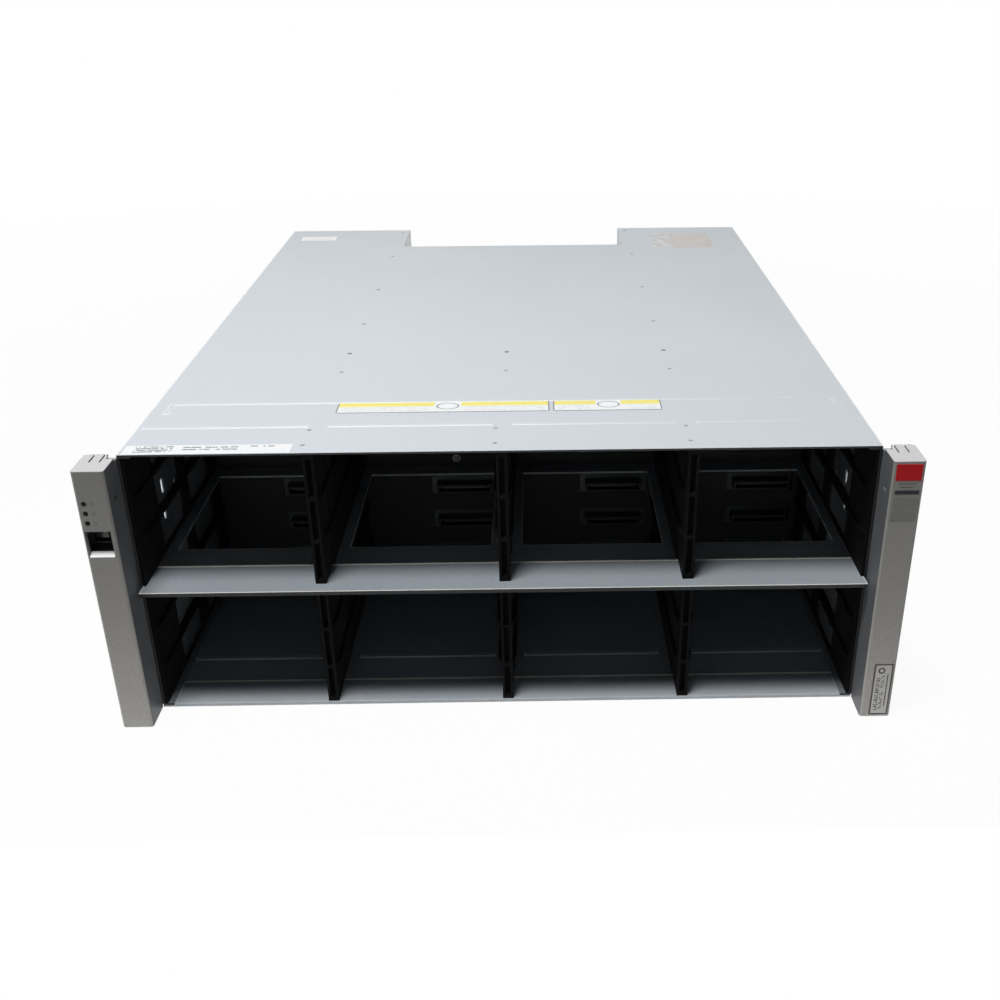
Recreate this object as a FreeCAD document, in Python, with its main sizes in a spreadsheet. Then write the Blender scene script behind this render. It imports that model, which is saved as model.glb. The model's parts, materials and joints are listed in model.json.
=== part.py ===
"""Disk shelf enclosure, 4U, for 24 drives of 3.5 inches.

Frame: X to the right, Y to the rear, Z up, in millimetres.  The origin lies midway between the side walls,
on the plane of the rack posts (the rear faces of the rack ears), at the height of the chassis underside.
"""
import FreeCAD, Part
import math
import os
import re
import Sketcher

# Driving dimensions.  Every name is a cell of the sheet "Dims".
DIMENSIONS = {
    # chassis shell
    "body_width": 444.2,
    "body_height": 175.3,
    "body_depth": 585.0,
    "sheet": 1.2,
    "wall_flange": 6.0,
    "notch_depth": 72.0,
    "partition_flange": 12.0,
    "seam_gap": 0.4,            # between the chassis and what slides in it
    "overcut": 1.0,             # how far a cutting box runs past the face that it opens
    # rack ears
    "ear_sheet": 2.0,
    "ear_reach": 17.4,
    "ear_leg_sheet": 1.5,
    "ear_leg": 45.0,
    "ear_trim": 2.2,            # height that the ear stands back from the top and the bottom
    "slot_from_wall": 10.45,
    "slot_length": 10.3,
    "slot_width": 6.8,
    "slot_low": 21.8,
    "slot_spacing": 88.9,
    # decks
    "shelf_rise": 1.05,         # of the mid shelf's top over the middle of the height
    "shelf_lip": 9.5,
    "shelf_hem": 7.0,
    "strip_depth": 26.0,        # flat front strip of both decks
    "joggle_drop": 3.5,
    "joggle_run": 2.0,
    "window_front": 54.0,
    "window_rear": 172.0,
    "window_width": 92.0,
    # pressed beads
    "bead_width": 3.6,
    "bead_height": 0.5,
    "pan_bead": 53.0,
    "cover_bead_front": 40.0,
    "cover_bead_turn": 63.0,
    "cover_bead_rear": 81.0,
    "cover_bead_margin": 9.0,
    "bay_bead_gap": 12.0,
    # drive bays
    "column_surplus": 3.9,      # width of an inner column over an outer one
    "bay_depth": 184.0,
    "row_margin": 4.1,          # what three rows leave of the lower half's height
    "divider_thick": 6.7,
    "divider_groove": 3.3,
    "groove_depth": 5.0,
    "rail_reach": 2.4,
    "rail_thick": 2.0,
    "rail_lead": 9.0,
    "rib_place": 28.0,
    "rib_width": 1.5,
    "rib_proud": 1.0,
    "rib_end_gap": 3.5,
    "guide_thick": 1.9,
    "guide_window": 50.0,
    "guide_window_place": 44.0,
    "guide_window_pitch": 66.0,
    "guide_window_margin": 2.0,
    # holes of the side walls, where the rack's slide rails fasten
    "oval_width": 5.0,
    "oval_length": 10.0,
    "high_oval_place": 63.0,
    "high_oval_height": 127.0,
    "low_oval_place": 60.0,
    "low_oval_height": 110.0,
    "pinhole_radius": 1.6,
    "far_pinhole_place": 87.0,
    "far_pinhole_height": 120.0,
    "near_pinhole_place": 72.0,
    "near_pinhole_height": 114.0,
    # midplane
    "board_thick": 3.0,
    "board_margin": 9.0,
    "connector_width": 42.0,
    "connector_height": 7.0,
    "connector_depth": 9.0,
    "connector_from_side": 10.0,
    "connector_lift": 13.0,
    "connector_wall": 1.6,
    "connector_floor": 2.0,
    "connector_clear": 4.0,
    "frame_window_margin": 4.0,
    "socket_width": 62.0,
    "socket_height": 16.0,
    "socket_depth": 12.0,
    "socket_wall": 3.0,
    # power and cooling modules
    "power_bay_width": 114.7,
    "module_gap": 27.0,         # from the midplane board to the modules' cases
    "case_sheet": 1.0,
    "face_sheet": 1.2,
    "vent_pitch": 14.0,
    "vent_width": 5.0,
    "vent_height": 46.0,
    "tongue_thick": 2.4,
    "tongue_margin": 6.0,
    "tongue_gap": 5.0,
    "fan_size": 60.0,
    "fan_depth": 25.0,
    "fan_bevel": 4.0,
    "fan_bore": 28.3,
    "fan_tip": 26.6,
    "fan_hub": 14.0,
    "fan_hub_depth": 17.0,
    "fan_from_top": 34.0,
    "strut_depth": 3.0,
    "strut_width": 4.0,
    "blade_root_chord": 14.0,
    "blade_tip_chord": 17.0,
    "blade_root_pitch": 50.0,   # degrees from the fan's axis
    "blade_tip_pitch": 32.0,    # degrees from the fan's axis
    "blade_thick": 1.4,
    "grille_slot": 4.0,
    "grille_pitch": 6.2,
    "grille_bar": 3.0,
    "grille_rim": 1.0,
    "inlet_width": 27.0,
    "inlet_height": 19.5,
    "inlet_depth": 22.0,
    "inlet_wall": 1.6,
    "inlet_floor": 4.0,
    "inlet_from_top": 22.0,
    "rim_width": 2.0,
    "rim_thick": 1.5,
    "pin_width": 4.0,
    "pin_thick": 2.0,
    "pin_setback": 5.0,
    "pin_spread": 7.0,
    "pin_rise": 2.0,
    "switch_width": 21.0,
    "switch_height": 15.0,
    "switch_depth": 12.0,
    "switch_from_top": 47.0,
    "switch_wall": 1.5,
    "rocker_pivot_depth": 4.5,
    "rocker_margin": 0.6,
    "rocker_back": 3.5,
    "rocker_edge": 4.2,
    "rocker_horn": 7.2,
    "rocker_dip": 5.6,
    "rocker_tilt": 8.0,         # degrees
    "lever_height": 9.0,
    "lever_thick": 3.5,
    "lever_length": 84.0,
    "lever_standoff": 11.0,
    "lever_from_bottom": 6.0,
    "lever_from_edge": 3.0,
    "lever_hub": 4.5,
    "grip_length": 8.0,
    "grip_bend": 2.5,
    "pivot_radius": 1.8,
    "pivot_clear": 0.12,
    "lug_sheet": 1.5,
    "move_gap": 0.35,           # between moving pieces and what they pass
    # input and output modules
    "io_rail_ledge": 9.0,
    "io_rail_setback": 4.0,
    "port_width": 19.0,
    "port_height": 9.4,
    "port_depth": 16.0,
    "port_wall": 0.8,
    "port_floor": 2.0,
    "port_pitch": 30.0,
    "port_lift": 24.0,
    "port_proud": 1.6,
    "ejector_length": 40.0,
    "ejector_thick": 3.0,
    "ejector_height": 7.0,
    "ejector_standoff": 8.0,
    "ejector_lift": 4.5,
    "ejector_from_edge": 7.0,
    "ejector_hub": 3.5,
    "blank_slot": 3.0,
    "blank_slot_pitch": 8.0,
    "blank_margin": 11.0,
    # end caps
    "cap_reach": 19.2,
    "cap_proud": 22.4,
    "cap_wall": 1.6,
    "cap_side_gap": 0.3,
    "cap_lift": 0.4,
    "cap_round": 1.2,
    "latch_tongue": 12.0,
    "latch_reach": 1.0,
    "latch_slit": 0.9,
    "latch_width": 6.0,
    "latch_length": 9.0,
    "shoulder_width": 4.3,
    "shoulder_depth": 3.7,
    "clip_length": 5.8,
    "clip_height": 2.0,
    "clip_from_front": 10.8,
    "clip_from_top": 21.3,
    # indicators of the left end cap
    "pocket_width": 15.0,
    "pocket_rim": 1.2,
    "pocket_from_top": 38.0,
    "pocket_tall": 16.8,
    "pocket_depth": 10.0,
    "pocket_slope": 4.8,
    "pocket_back_rim": 0.8,
    "lamp_radius": 1.1,
    "lamp_pitch": 6.1,
    "lamp_from_top": 20.4,
    "lamp_from_edge": 4.2,
    "lamp_setback": 0.4,
    "pipe_plate_width": 4.0,
    "pipe_plate_thick": 1.5,
    "display_width": 7.5,
    "display_height": 9.0,
    "display_depth": 6.0,
    "display_from_side": 1.2,
    "display_lift": 1.6,
    "button_radius": 1.5,
    "button_travel": 1.5,
    "button_from_side": 3.4,
    "button_lift": 6.0,
    "sleeve_wall": 1.0,
    "indicator_sheet": 1.6,
    "indicator_standoff": 2.0,
    "indicator_rise": 6.0,
    "post_width": 4.0,
    "post_inset": 3.0,
    "chip_size": 2.2,
    "chip_height": 1.2,
    # tag of the right end cap
    "tag_width": 12.0,
    "tag_height": 38.0,
    "tag_from_side": 1.3,
    "tag_lift": 0.8,
    "tag_recess": 0.9,
    "tag_thick": 0.5,
}

# Places and sizes that follow from the driving dimensions.
PLACES = {
    "half_width": "body_width / 2",
    "inner_half": "half_width - sheet",
    "front": "-ear_sheet",
    "rear": "body_depth - ear_sheet",
    "ceiling": "body_height - sheet",
    "notch_half": "inner_half - power_bay_width - sheet",
    "notch_front": "rear - notch_depth",
    "strip_end": "front + strip_depth",
    "joggle_end": "strip_end + joggle_run",
    "shelf_top": "body_height / 2 + shelf_rise",
    "deck_top": "shelf_top - joggle_drop",
    "deck_bottom": "deck_top - sheet",
    "bay_pitch": "(inner_half + column_surplus) / 2",
    "row_pitch": "(shelf_top - row_margin) / 3",
    "bay_front": "front + seam_gap",
    "bay_rear": "front + bay_depth",
    "frame_front": "bay_rear + connector_clear",
    "board_front": "frame_front + sheet",
    "board_rear": "board_front + board_thick",
    "connector_shift": "(bay_pitch - divider_thick - connector_width) / 2 - connector_from_side",
    "module_front": "board_rear + module_gap",
    "bay_mid": "(sheet + ceiling) / 2",
    "io_pitch": "(ceiling - sheet) / 4",
    "io_half": "notch_half - seam_gap",
    "power_inner": "notch_half + sheet + seam_gap",
    "power_width": "power_bay_width - 2 * seam_gap",
    "power_low": "2 * sheet + seam_gap",
    "power_high": "bay_mid - sheet / 2 - seam_gap",
    "power_middle": "(power_low + power_high) / 2",
    "power_face": "rear - face_sheet",
    "face_gap": "(power_width - fan_size - inlet_width - 2 * rim_width) / 3",
    "fan_place": "face_gap + fan_size / 2",
    "fan_height": "power_high - fan_from_top",
    "inlet_place": "power_width - face_gap - rim_width - inlet_width / 2",
    "lever_pivot": "power_width - lever_hub - lever_from_edge",
    "lever_low": "power_low + lever_from_bottom",
    "ear_half": "half_width + ear_reach",
    "cap_inner": "half_width + cap_side_gap",
    "cap_half": "half_width + cap_reach",
    "cap_front": "front - cap_proud",
    "cap_back": "front - cap_side_gap",
    "cap_top": "body_height - cap_lift",
    "pocket_middle": "-(cap_half - pocket_rim - pocket_width / 2)",
    "pocket_high": "body_height - pocket_from_top",
    "pocket_low": "pocket_high - pocket_tall",
    "pocket_ledge": "pocket_low + pocket_slope",
    "pocket_back": "cap_front + pocket_depth",
    "lamp_place": "-(cap_half - lamp_from_edge)",
    "lamp_top": "body_height - lamp_from_top",
    "card_face": "front - indicator_standoff - indicator_sheet",
    "tag_middle": "cap_half - tag_from_side - tag_width / 2",
}

DRIVE_COLUMNS = 4
IO_SLOTS = 4

doc = FreeCAD.newDocument("disk_shelf_enclosure")
dims = doc.addObject("Spreadsheet::Sheet", "Dims")
for line, (alias, size) in enumerate(DIMENSIONS.items(), start=1):
    dims.set(f"A{line}", alias)
    dims.set(f"B{line}", str(size))
    dims.setAlias(f"B{line}", alias)
doc.recompute()

nodes = {}


# ---------------------------------------------------------------- helpers

def sheet_formula(text):
    """Write a formula of dimension and place names as one that the sheet's cells drive."""
    def swap(match):
        word = match.group(0)
        if word in PLACES:
            return "(" + sheet_formula(PLACES[word]) + ")"
        return "Dims." + word if word in DIMENSIONS else word
    return re.sub(r"[a-z_]+", swap, str(text))


def value(text):
    """The present size in millimetres of a formula."""
    return float(dims.evalExpression(sheet_formula(text)))


def bind(thing, setting, text):
    thing.setExpression(setting, sheet_formula(text))


def add_node(name, thing):
    """Name a finished sub-part: its label is also its file's name."""
    thing.Label = name
    nodes[name] = thing
    return thing


def span(centre, size):
    return (f"({centre}) - ({size}) / 2", f"({centre}) + ({size}) / 2")


def reach(low, size):
    return (f"{low}", f"({low}) + ({size})")


def side_span(side, inner, outer):
    """Limits between an inner and an outer distance from the middle, on one side."""
    if side > 0:
        return (f"{inner}", f"{outer}")
    return (f"-({outer})", f"-({inner})")


def box(name, across, deep, high):
    """A box between two limits on each axis."""
    thing = doc.addObject("Part::Box", name)
    for (low, top), size, axis in ((across, "Length", "x"), (deep, "Width", "y"), (high, "Height", "z")):
        bind(thing, size, f"({top}) - ({low})")
        bind(thing, "Placement.Base." + axis, low)
    return thing


TURNS = {
    "x": FreeCAD.Rotation(FreeCAD.Vector(0, 1, 0), 90),
    "y": FreeCAD.Rotation(FreeCAD.Vector(1, 0, 0), -90),
    "z": FreeCAD.Rotation(),
}


def rod(name, axis, radius, length, start, sides=0):
    """A cylinder, or a prism of so many sides, along an axis from its start point."""
    thing = doc.addObject("Part::Prism" if sides else "Part::Cylinder", name)
    thing.Placement = FreeCAD.Placement(FreeCAD.Vector(), TURNS[axis])
    if sides:
        thing.Polygon = sides
    bind(thing, "Circumradius" if sides else "Radius", radius)
    bind(thing, "Height", length)
    for letter, place in zip("xyz", start):
        bind(thing, "Placement.Base." + letter, place)
    return thing


def ridge(name, across, deep, low, tall):
    """A pressed bead: a low frustum that stands on a sheet, with its four sides sloping in."""
    thing = doc.addObject("Part::Wedge", name)
    thing.Placement = FreeCAD.Placement(FreeCAD.Vector(), FreeCAD.Rotation(FreeCAD.Vector(1, 0, 0), 90))
    limits = {
        "Xmin": across[0], "Xmax": across[1],
        "X2min": f"({across[0]}) + {tall}", "X2max": f"({across[1]}) - {tall}",
        "Ymin": "0", "Ymax": tall,
        "Zmin": f"-({deep[1]})", "Zmax": f"-({deep[0]})",
        "Z2min": f"-({deep[1]}) + {tall}", "Z2max": f"-({deep[0]}) - {tall}",
    }
    for setting, text in limits.items():
        bind(thing, setting, text)
    bind(thing, "Placement.Base.z", low)
    return thing


def group(name, things):
    """Several separate solids as one object."""
    thing = doc.addObject("Part::Compound", name)
    thing.Links = things
    return thing


def fuse(name, things):
    thing = doc.addObject("Part::MultiFuse", name)
    thing.Shapes = things
    thing.Refine = True
    return thing


def cut(name, base, tools):
    """The base less all the tools."""
    thing = doc.addObject("Part::Cut", name)
    thing.Base = base
    thing.Tool = tools[0] if len(tools) == 1 else group(name + "_tools", tools)
    return thing


# The sign says which way each origin plane's normal points along its axis.
PLANES = {"XY": ("XY_Plane", 1), "XZ": ("XZ_Plane", -1), "YZ": ("YZ_Plane", 1)}


def new_body(name):
    return doc.addObject("PartDesign::Body", name)


def new_sketch(body, plane, offset):
    role = PLANES[plane][0]
    sketch = body.newObject("Sketcher::SketchObject", body.Name + "_sketch")
    sketch.AttachmentSupport = [(next(f for f in body.Origin.OriginFeatures if f.Role == role), "")]
    sketch.MapMode = "FlatFace"
    bind(sketch, "AttachmentOffset.Base.z", offset)
    return sketch


def pin_point(sketch, shape, corner, place):
    """Fix one point of a sketch to a place, given as two formulas."""
    for kind, text in zip(("DistanceX", "DistanceY"), place):
        number = sketch.addConstraint(Sketcher.Constraint(kind, -1, 1, shape, corner, value(text)))
        bind(sketch, f"Constraints[{number}]", text)


def draw_outline(sketch, outline):
    """A closed outline of straight lines through the given corners."""
    start = sketch.GeometryCount
    count = len(outline)
    corners = [FreeCAD.Vector(value(across), value(along), 0) for across, along in outline]
    for number in range(count):
        sketch.addGeometry(Part.LineSegment(corners[number], corners[(number + 1) % count]), False)
    for number in range(count):
        sketch.addConstraint(
            Sketcher.Constraint("Coincident", start + number, 2, start + (number + 1) % count, 1))
    for number, place in enumerate(outline):
        pin_point(sketch, start + number, 1, place)


def draw_rectangle(sketch, across, along):
    draw_outline(sketch, [(across[0], along[0]), (across[1], along[0]),
                          (across[1], along[1]), (across[0], along[1])])


def draw_octagon(sketch, centre, half_across, half_along, corner):
    """A rectangle whose four corners are cut off."""
    across, along = centre
    left, right = f"{across} - ({half_across})", f"{across} + ({half_across})"
    low, high = f"{along} - ({half_along})", f"{along} + ({half_along})"
    draw_outline(sketch, [
        (f"{left} + {corner}", low), (f"{right} - {corner}", low), (right, f"{low} + {corner}"),
        (right, f"{high} - {corner}"), (f"{right} - {corner}", high), (f"{left} + {corner}", high),
        (left, f"{high} - {corner}"), (left, f"{low} + {corner}")])


def draw_circle(sketch, centre, radius):
    start = sketch.GeometryCount
    middle = FreeCAD.Vector(value(centre[0]), value(centre[1]), 0)
    sketch.addGeometry(Part.Circle(middle, FreeCAD.Vector(0, 0, 1), value(radius)), False)
    pin_point(sketch, start, 3, centre)
    number = sketch.addConstraint(Sketcher.Constraint("Radius", start, value(radius)))
    bind(sketch, f"Constraints[{number}]", radius)


def draw_slot(sketch, centre, length, width):
    """A round-ended slot that runs along the sketch's first axis."""
    start = sketch.GeometryCount
    up = FreeCAD.Vector(0, 0, 1)
    radius = value(width) / 2
    half = value(length) / 2 - radius
    middle = FreeCAD.Vector(value(centre[0]), value(centre[1]), 0)
    rise = FreeCAD.Vector(0, radius, 0)
    shift = FreeCAD.Vector(half, 0, 0)
    quarter = math.pi / 2
    sketch.addGeometry(Part.ArcOfCircle(Part.Circle(middle + shift, up, radius), -quarter, quarter), False)
    sketch.addGeometry(Part.LineSegment(middle + shift + rise, middle - shift + rise), False)
    sketch.addGeometry(Part.ArcOfCircle(Part.Circle(middle - shift, up, radius), quarter, 3 * quarter), False)
    sketch.addGeometry(Part.LineSegment(middle - shift - rise, middle + shift - rise), False)
    for number in range(4):
        sketch.addConstraint(
            Sketcher.Constraint("Tangent", start + number, 2, start + (number + 1) % 4, 1))
    pin_point(sketch, start, 3, (f"({centre[0]}) + ({length}) / 2 - ({width}) / 2", centre[1]))
    pin_point(sketch, start + 2, 3, (f"({centre[0]}) - ({length}) / 2 + ({width}) / 2", centre[1]))
    number = sketch.addConstraint(Sketcher.Constraint("Radius", start, radius))
    bind(sketch, f"Constraints[{number}]", f"({width}) / 2")


def pad(body, plane, limits, draw):
    """Add material between two limits along the plane's axis."""
    low, high = limits
    sketch = new_sketch(body, plane, low if PLANES[plane][1] > 0 else f"-({high})")
    draw(sketch)
    feature = body.newObject("PartDesign::Pad", body.Name + "_pad")
    feature.Profile = sketch
    bind(feature, "Length", f"({high}) - ({low})")
    return feature


def pocket(body, plane, limits, draw):
    """Take material away between two limits along the plane's axis."""
    low, high = limits
    sketch = new_sketch(body, plane, high if PLANES[plane][1] > 0 else f"-({low})")
    draw(sketch)
    feature = body.newObject("PartDesign::Pocket", body.Name + "_pocket")
    feature.Profile = sketch
    bind(feature, "Length", f"({high}) - ({low})")
    return feature


def outline_of(points):
    return lambda sketch: draw_outline(sketch, points)


def rectangle_of(across, along):
    return lambda sketch: draw_rectangle(sketch, across, along)


# ---------------------------------------------------------------- chassis shell

def column_middle(column):
    return f"({column - (DRIVE_COLUMNS - 1) / 2} * bay_pitch)"


def make_bottom_pan():
    """The floor, doubled along its front strip, with a bead across each bay."""
    body = new_body("pan")
    pad(body, "XY", ("0", "sheet"), rectangle_of(("-half_width", "half_width"), ("front", "rear")))
    between = ("-inner_half + wall_flange", "inner_half - wall_flange")
    pad(body, "XY", ("sheet", "2 * sheet"), rectangle_of(between, ("front", "strip_end")))
    beads = [ridge("pan_ridge", span(column_middle(column), "window_width"), span("pan_bead", "bead_width"),
                   "sheet", "bead_height") for column in range(DRIVE_COLUMNS)]
    add_node("bottom_pan", fuse("pan_whole", [body] + beads))


# Holes of the side walls: distance from the rack plane, height.
WALL_OVALS = (("high_oval_place", "high_oval_height"), ("low_oval_place", "low_oval_height"))
WALL_PINHOLES = (("far_pinhole_place", "far_pinhole_height"), ("near_pinhole_place", "near_pinhole_height"))


def make_side_wall(side, name):
    body = new_body(name + "_body")
    web, lip = side_span(side, "inner_half", "half_width"), f"{side} * (inner_half - wall_flange)"
    outer, inner = f"{side} * half_width", f"{side} * inner_half"
    pad(body, "XZ", ("front", "rear"), outline_of([
        (outer, "sheet"), (lip, "sheet"), (lip, "2 * sheet"), (inner, "2 * sheet"),
        (inner, "ceiling - sheet"), (lip, "ceiling - sheet"), (lip, "ceiling"), (outer, "ceiling")]))

    def holes(sketch):
        for centre in WALL_OVALS:
            draw_octagon(sketch, centre, "oval_width / 2", "oval_length / 2", "oval_width / 4")
        for centre in WALL_PINHOLES:
            draw_octagon(sketch, centre, "pinhole_radius", "pinhole_radius", "(2 - sqrt(2)) * pinhole_radius")
    pocket(body, "YZ", web, holes)
    add_node(name, body)


def make_top_cover():
    """The cover, cut back round the rear recess, with a long bead near its front and one over each bay."""
    plate = new_body("cover_plate")
    pad(plate, "XY", ("ceiling", "body_height"), outline_of([
        ("-half_width", "front"), ("half_width", "front"), ("half_width", "rear"), ("notch_half", "rear"),
        ("notch_half", "notch_front"), ("-notch_half", "notch_front"), ("-notch_half", "rear"),
        ("-half_width", "rear")]))
    end = "half_width - cover_bead_margin"
    beads = [ridge("cover_long_bead", (f"-({end})", end), span("cover_bead_rear", "bead_width"),
                   "body_height", "bead_height")]
    for side in (-1, 1):
        beads.append(ridge("cover_end_bead", span(f"{side} * ({end} - bead_width / 2)", "bead_width"),
                           ("cover_bead_turn", "cover_bead_rear"), "body_height", "bead_height"))
    for column in range(DRIVE_COLUMNS):
        beads.append(ridge("cover_bay_bead", span(column_middle(column), "bay_pitch - bay_bead_gap"),
                           span("cover_bead_front", "bead_width"), "body_height", "bead_height"))
    add_node("top_cover", fuse("cover_whole", [plate] + beads))


def make_mid_shelf():
    """The shelf: a hemmed lip, a flat strip and a step down to the perforated deck."""
    body = new_body("shelf")
    lip = "front - shelf_lip"
    pad(body, "YZ", ("-inner_half", "inner_half"), outline_of([
        (lip, "shelf_top - 2 * sheet"), (f"{lip} + shelf_hem", "shelf_top - 2 * sheet"),
        (f"{lip} + shelf_hem", "shelf_top - sheet"), ("strip_end - sheet / 2", "shelf_top - sheet"),
        ("joggle_end - sheet / 2", "deck_bottom"), ("frame_front", "deck_bottom"),
        ("frame_front", "deck_top"), ("joggle_end", "deck_top"), ("strip_end", "shelf_top"),
        (lip, "shelf_top")]))

    def windows(sketch):
        for column in range(DRIVE_COLUMNS):
            draw_rectangle(sketch, span(column_middle(column), "window_width"),
                           ("window_front", "window_rear"))
    pocket(body, "XY", ("deck_bottom", "deck_top"), windows)
    add_node("mid_shelf", body)


def make_rack_ear(side, name):
    body = new_body(name + "_body")
    skin, leg = f"{side} * half_width", f"{side} * (half_width + ear_leg_sheet)"
    tip = f"{side} * ear_half"
    pad(body, "XY", ("ear_trim", "body_height - ear_trim"), outline_of([
        (skin, "front"), (tip, "front"), (tip, "0"), (leg, "0"), (leg, "ear_leg"), (skin, "ear_leg")]))

    def slots(sketch):
        for height in ("slot_low", "slot_low + slot_spacing"):
            draw_slot(sketch, (f"{side} * (half_width + slot_from_wall)", height),
                      "slot_length", "slot_width")
    pocket(body, "XZ", ("front", "0"), slots)
    add_node(name, body)


# ---------------------------------------------------------------- drive bays

ROWS_IN_HALF = 3


def carrier_heights(upper):
    """Heights of the rails that divide each half into its rows."""
    base = "shelf_top" if upper else "0"
    return [f"{base} + {row} * row_pitch" for row in range(1, ROWS_IN_HALF)]


def rib_segments(upper):
    """Height ranges of the upright ribs between the rails."""
    low, high = ("shelf_top", "ceiling - 2 * sheet") if upper else ("2 * sheet", "deck_bottom")
    edges = [low] + carrier_heights(upper) + [high]
    return [(f"{below} + rib_end_gap", f"{above} - rib_end_gap") for below, above in zip(edges, edges[1:])]


def make_divider(column, upper, name):
    """An upright between two columns: a hollow-fronted web with a pair of rails at each row."""
    middle = f"{column} * bay_pitch"
    across = span(middle, "divider_thick")
    if upper:
        low, low_strip, high, high_strip = "deck_top", "shelf_top", "ceiling", "ceiling"
        top_step = []
    else:
        low, low_strip, high, high_strip = "sheet", "2 * sheet", "deck_bottom", "shelf_top - sheet"
        top_step = [("joggle_end - sheet / 2", high), ("strip_end - sheet / 2", high_strip)]
    body = new_body(name + "_body")
    pad(body, "YZ", across, outline_of(
        [("bay_front", low_strip), ("joggle_end", low_strip), ("joggle_end", low), ("bay_rear", low),
         ("bay_rear", high)] + top_step + [("bay_front", high_strip)]))
    rails = carrier_heights(upper)
    ends = [f"{low_strip} + rail_thick"] + rails + [f"{high_strip} - rail_thick"]

    def grooves(sketch):
        for below, above in zip(ends, ends[1:]):
            draw_rectangle(sketch, span(middle, "divider_groove"),
                           (f"{below} + rail_thick / 2", f"{above} - rail_thick / 2"))
    pocket(body, "XZ", ("bay_front", "bay_front + groove_depth"), grooves)
    left, right = across
    for rail in rails:
        pad(body, "XY", span(rail, "rail_thick"), outline_of([
            (left, "bay_front + sheet"), (right, "bay_front + sheet"),
            (f"{right} + rail_reach", "bay_front + rail_lead"), (f"{right} + rail_reach", "bay_rear"),
            (f"{left} - rail_reach", "bay_rear"), (f"{left} - rail_reach", "bay_front + rail_lead")]))

    def ribs(sketch):
        for segment in rib_segments(upper):
            draw_rectangle(sketch, (f"{left} - rib_proud", f"{right} + rib_proud"), segment)
    pad(body, "XZ", span("rib_place", "rib_width"), ribs)
    add_node(name, body)


GUIDE_WINDOWS = 2


def make_side_guide(side, upper, name):
    """A moulded plate on a side wall, with two rails, upright ribs and openings to the wall."""
    inner, outer = f"{side} * (inner_half - guide_thick)", f"{side} * inner_half"
    across = side_span(side, "inner_half - guide_thick", "inner_half")
    low, high = ("shelf_top", "ceiling - sheet") if upper else ("2 * sheet", "deck_bottom")
    body = new_body(name + "_body")
    pad(body, "YZ", across, rectangle_of(("bay_front", "bay_rear"), (low, high)))
    rails = carrier_heights(upper)
    ends = [low] + rails + [high]

    def windows(sketch):
        for bay in range(GUIDE_WINDOWS):
            start = f"guide_window_place + {bay} * guide_window_pitch"
            for below, above in zip(ends, ends[1:]):
                draw_rectangle(sketch, reach(start, "guide_window"),
                               (f"{below} + guide_window_margin", f"{above} - guide_window_margin"))
    pocket(body, "YZ", across, windows)
    tip = f"{side} * (inner_half - guide_thick - rail_reach)"
    for rail in rails:
        pad(body, "XY", span(rail, "rail_thick"), outline_of([
            (outer, "bay_front + sheet"), (inner, "bay_front + sheet"), (tip, "bay_front + rail_lead"),
            (tip, "bay_rear"), (outer, "bay_rear")]))

    def ribs(sketch):
        for segment in rib_segments(upper):
            draw_rectangle(sketch, side_span(side, "inner_half - guide_thick - rib_proud", "inner_half"),
                           segment)
    pad(body, "XZ", span("rib_place", "rib_width"), ribs)
    add_node(name, body)


# ---------------------------------------------------------------- midplane

def connector_place(column, row):
    """Middle of a drive connector: the rows count up from the bottom."""
    across = f"{column_middle(column)} + connector_shift"
    base = "shelf_top" if row >= ROWS_IN_HALF else "0"
    return across, f"{base} + {row % ROWS_IN_HALF} * row_pitch + connector_lift"


def make_midplane_frame():
    """A steel plate across the chassis, with a window round each connector and cut corners."""
    plate = box("frame_plate", ("-inner_half", "inner_half"), ("frame_front", "board_front"),
                ("sheet", "ceiling"))
    openings = []
    for side in (-1, 1):
        across = side_span(side, "inner_half - wall_flange - seam_gap", "half_width")
        for high in (("0", "2 * sheet + seam_gap"), ("ceiling - sheet - seam_gap", "body_height")):
            openings.append(box("frame_corner", across, ("bay_rear", "board_rear"), high))
    for column in range(DRIVE_COLUMNS):
        for row in range(2 * ROWS_IN_HALF):
            across, height = connector_place(column, row)
            openings.append(box("frame_window", span(across, "connector_width + 2 * frame_window_margin"),
                                ("bay_rear", "board_rear"),
                                span(height, "connector_height + 2 * frame_window_margin")))
    add_node("midplane_frame", cut("frame", plate, openings))


def make_drive_connectors():
    shells, slots = [], []
    nose = "board_front - connector_depth"
    for column in range(DRIVE_COLUMNS):
        for row in range(2 * ROWS_IN_HALF):
            across, height = connector_place(column, row)
            shells.append(box("connector_shell", span(across, "connector_width"), (nose, "board_front"),
                              span(height, "connector_height")))
            slots.append(box("connector_slot", span(across, "connector_width - 2 * connector_wall"),
                             (f"{nose} - overcut", "board_front - connector_floor"),
                             span(height, "connector_height - 2 * connector_wall")))
    add_node("drive_connectors", cut("connectors", group("connector_shells", shells), slots))


def module_places():
    """Middles of the eight rear modules' connectors: two power bays a side and four slots between."""
    places = []
    for side in (-1, 1):
        middle = f"{side} * (power_inner + power_width / 2)"
        places += [(middle, "power_middle"), (middle, "power_middle + bay_mid")]
    return places + [("0", f"sheet + {slot + 0.5} * io_pitch") for slot in range(IO_SLOTS)]


def make_midplane_board():
    board = box("board", ("-inner_half + board_margin", "inner_half - board_margin"),
                ("board_front", "board_rear"), ("sheet + board_margin", "ceiling - board_margin"))
    add_node("midplane_board", board)
    sockets = []
    back = "board_rear + socket_depth"
    for across, height in module_places():
        shell = box("socket_shell", span(across, "socket_width"), ("board_rear", back),
                    span(height, "socket_height"))
        slot = box("socket_slot", span(across, "socket_width - 2 * socket_wall"),
                   ("board_rear + socket_wall", f"{back} + overcut"),
                   span(height, "socket_height - 2 * socket_wall"))
        sockets.append(cut("socket", shell, [slot]))
    add_node("module_connectors", group("sockets", sockets))


# ---------------------------------------------------------------- rear bays

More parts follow.
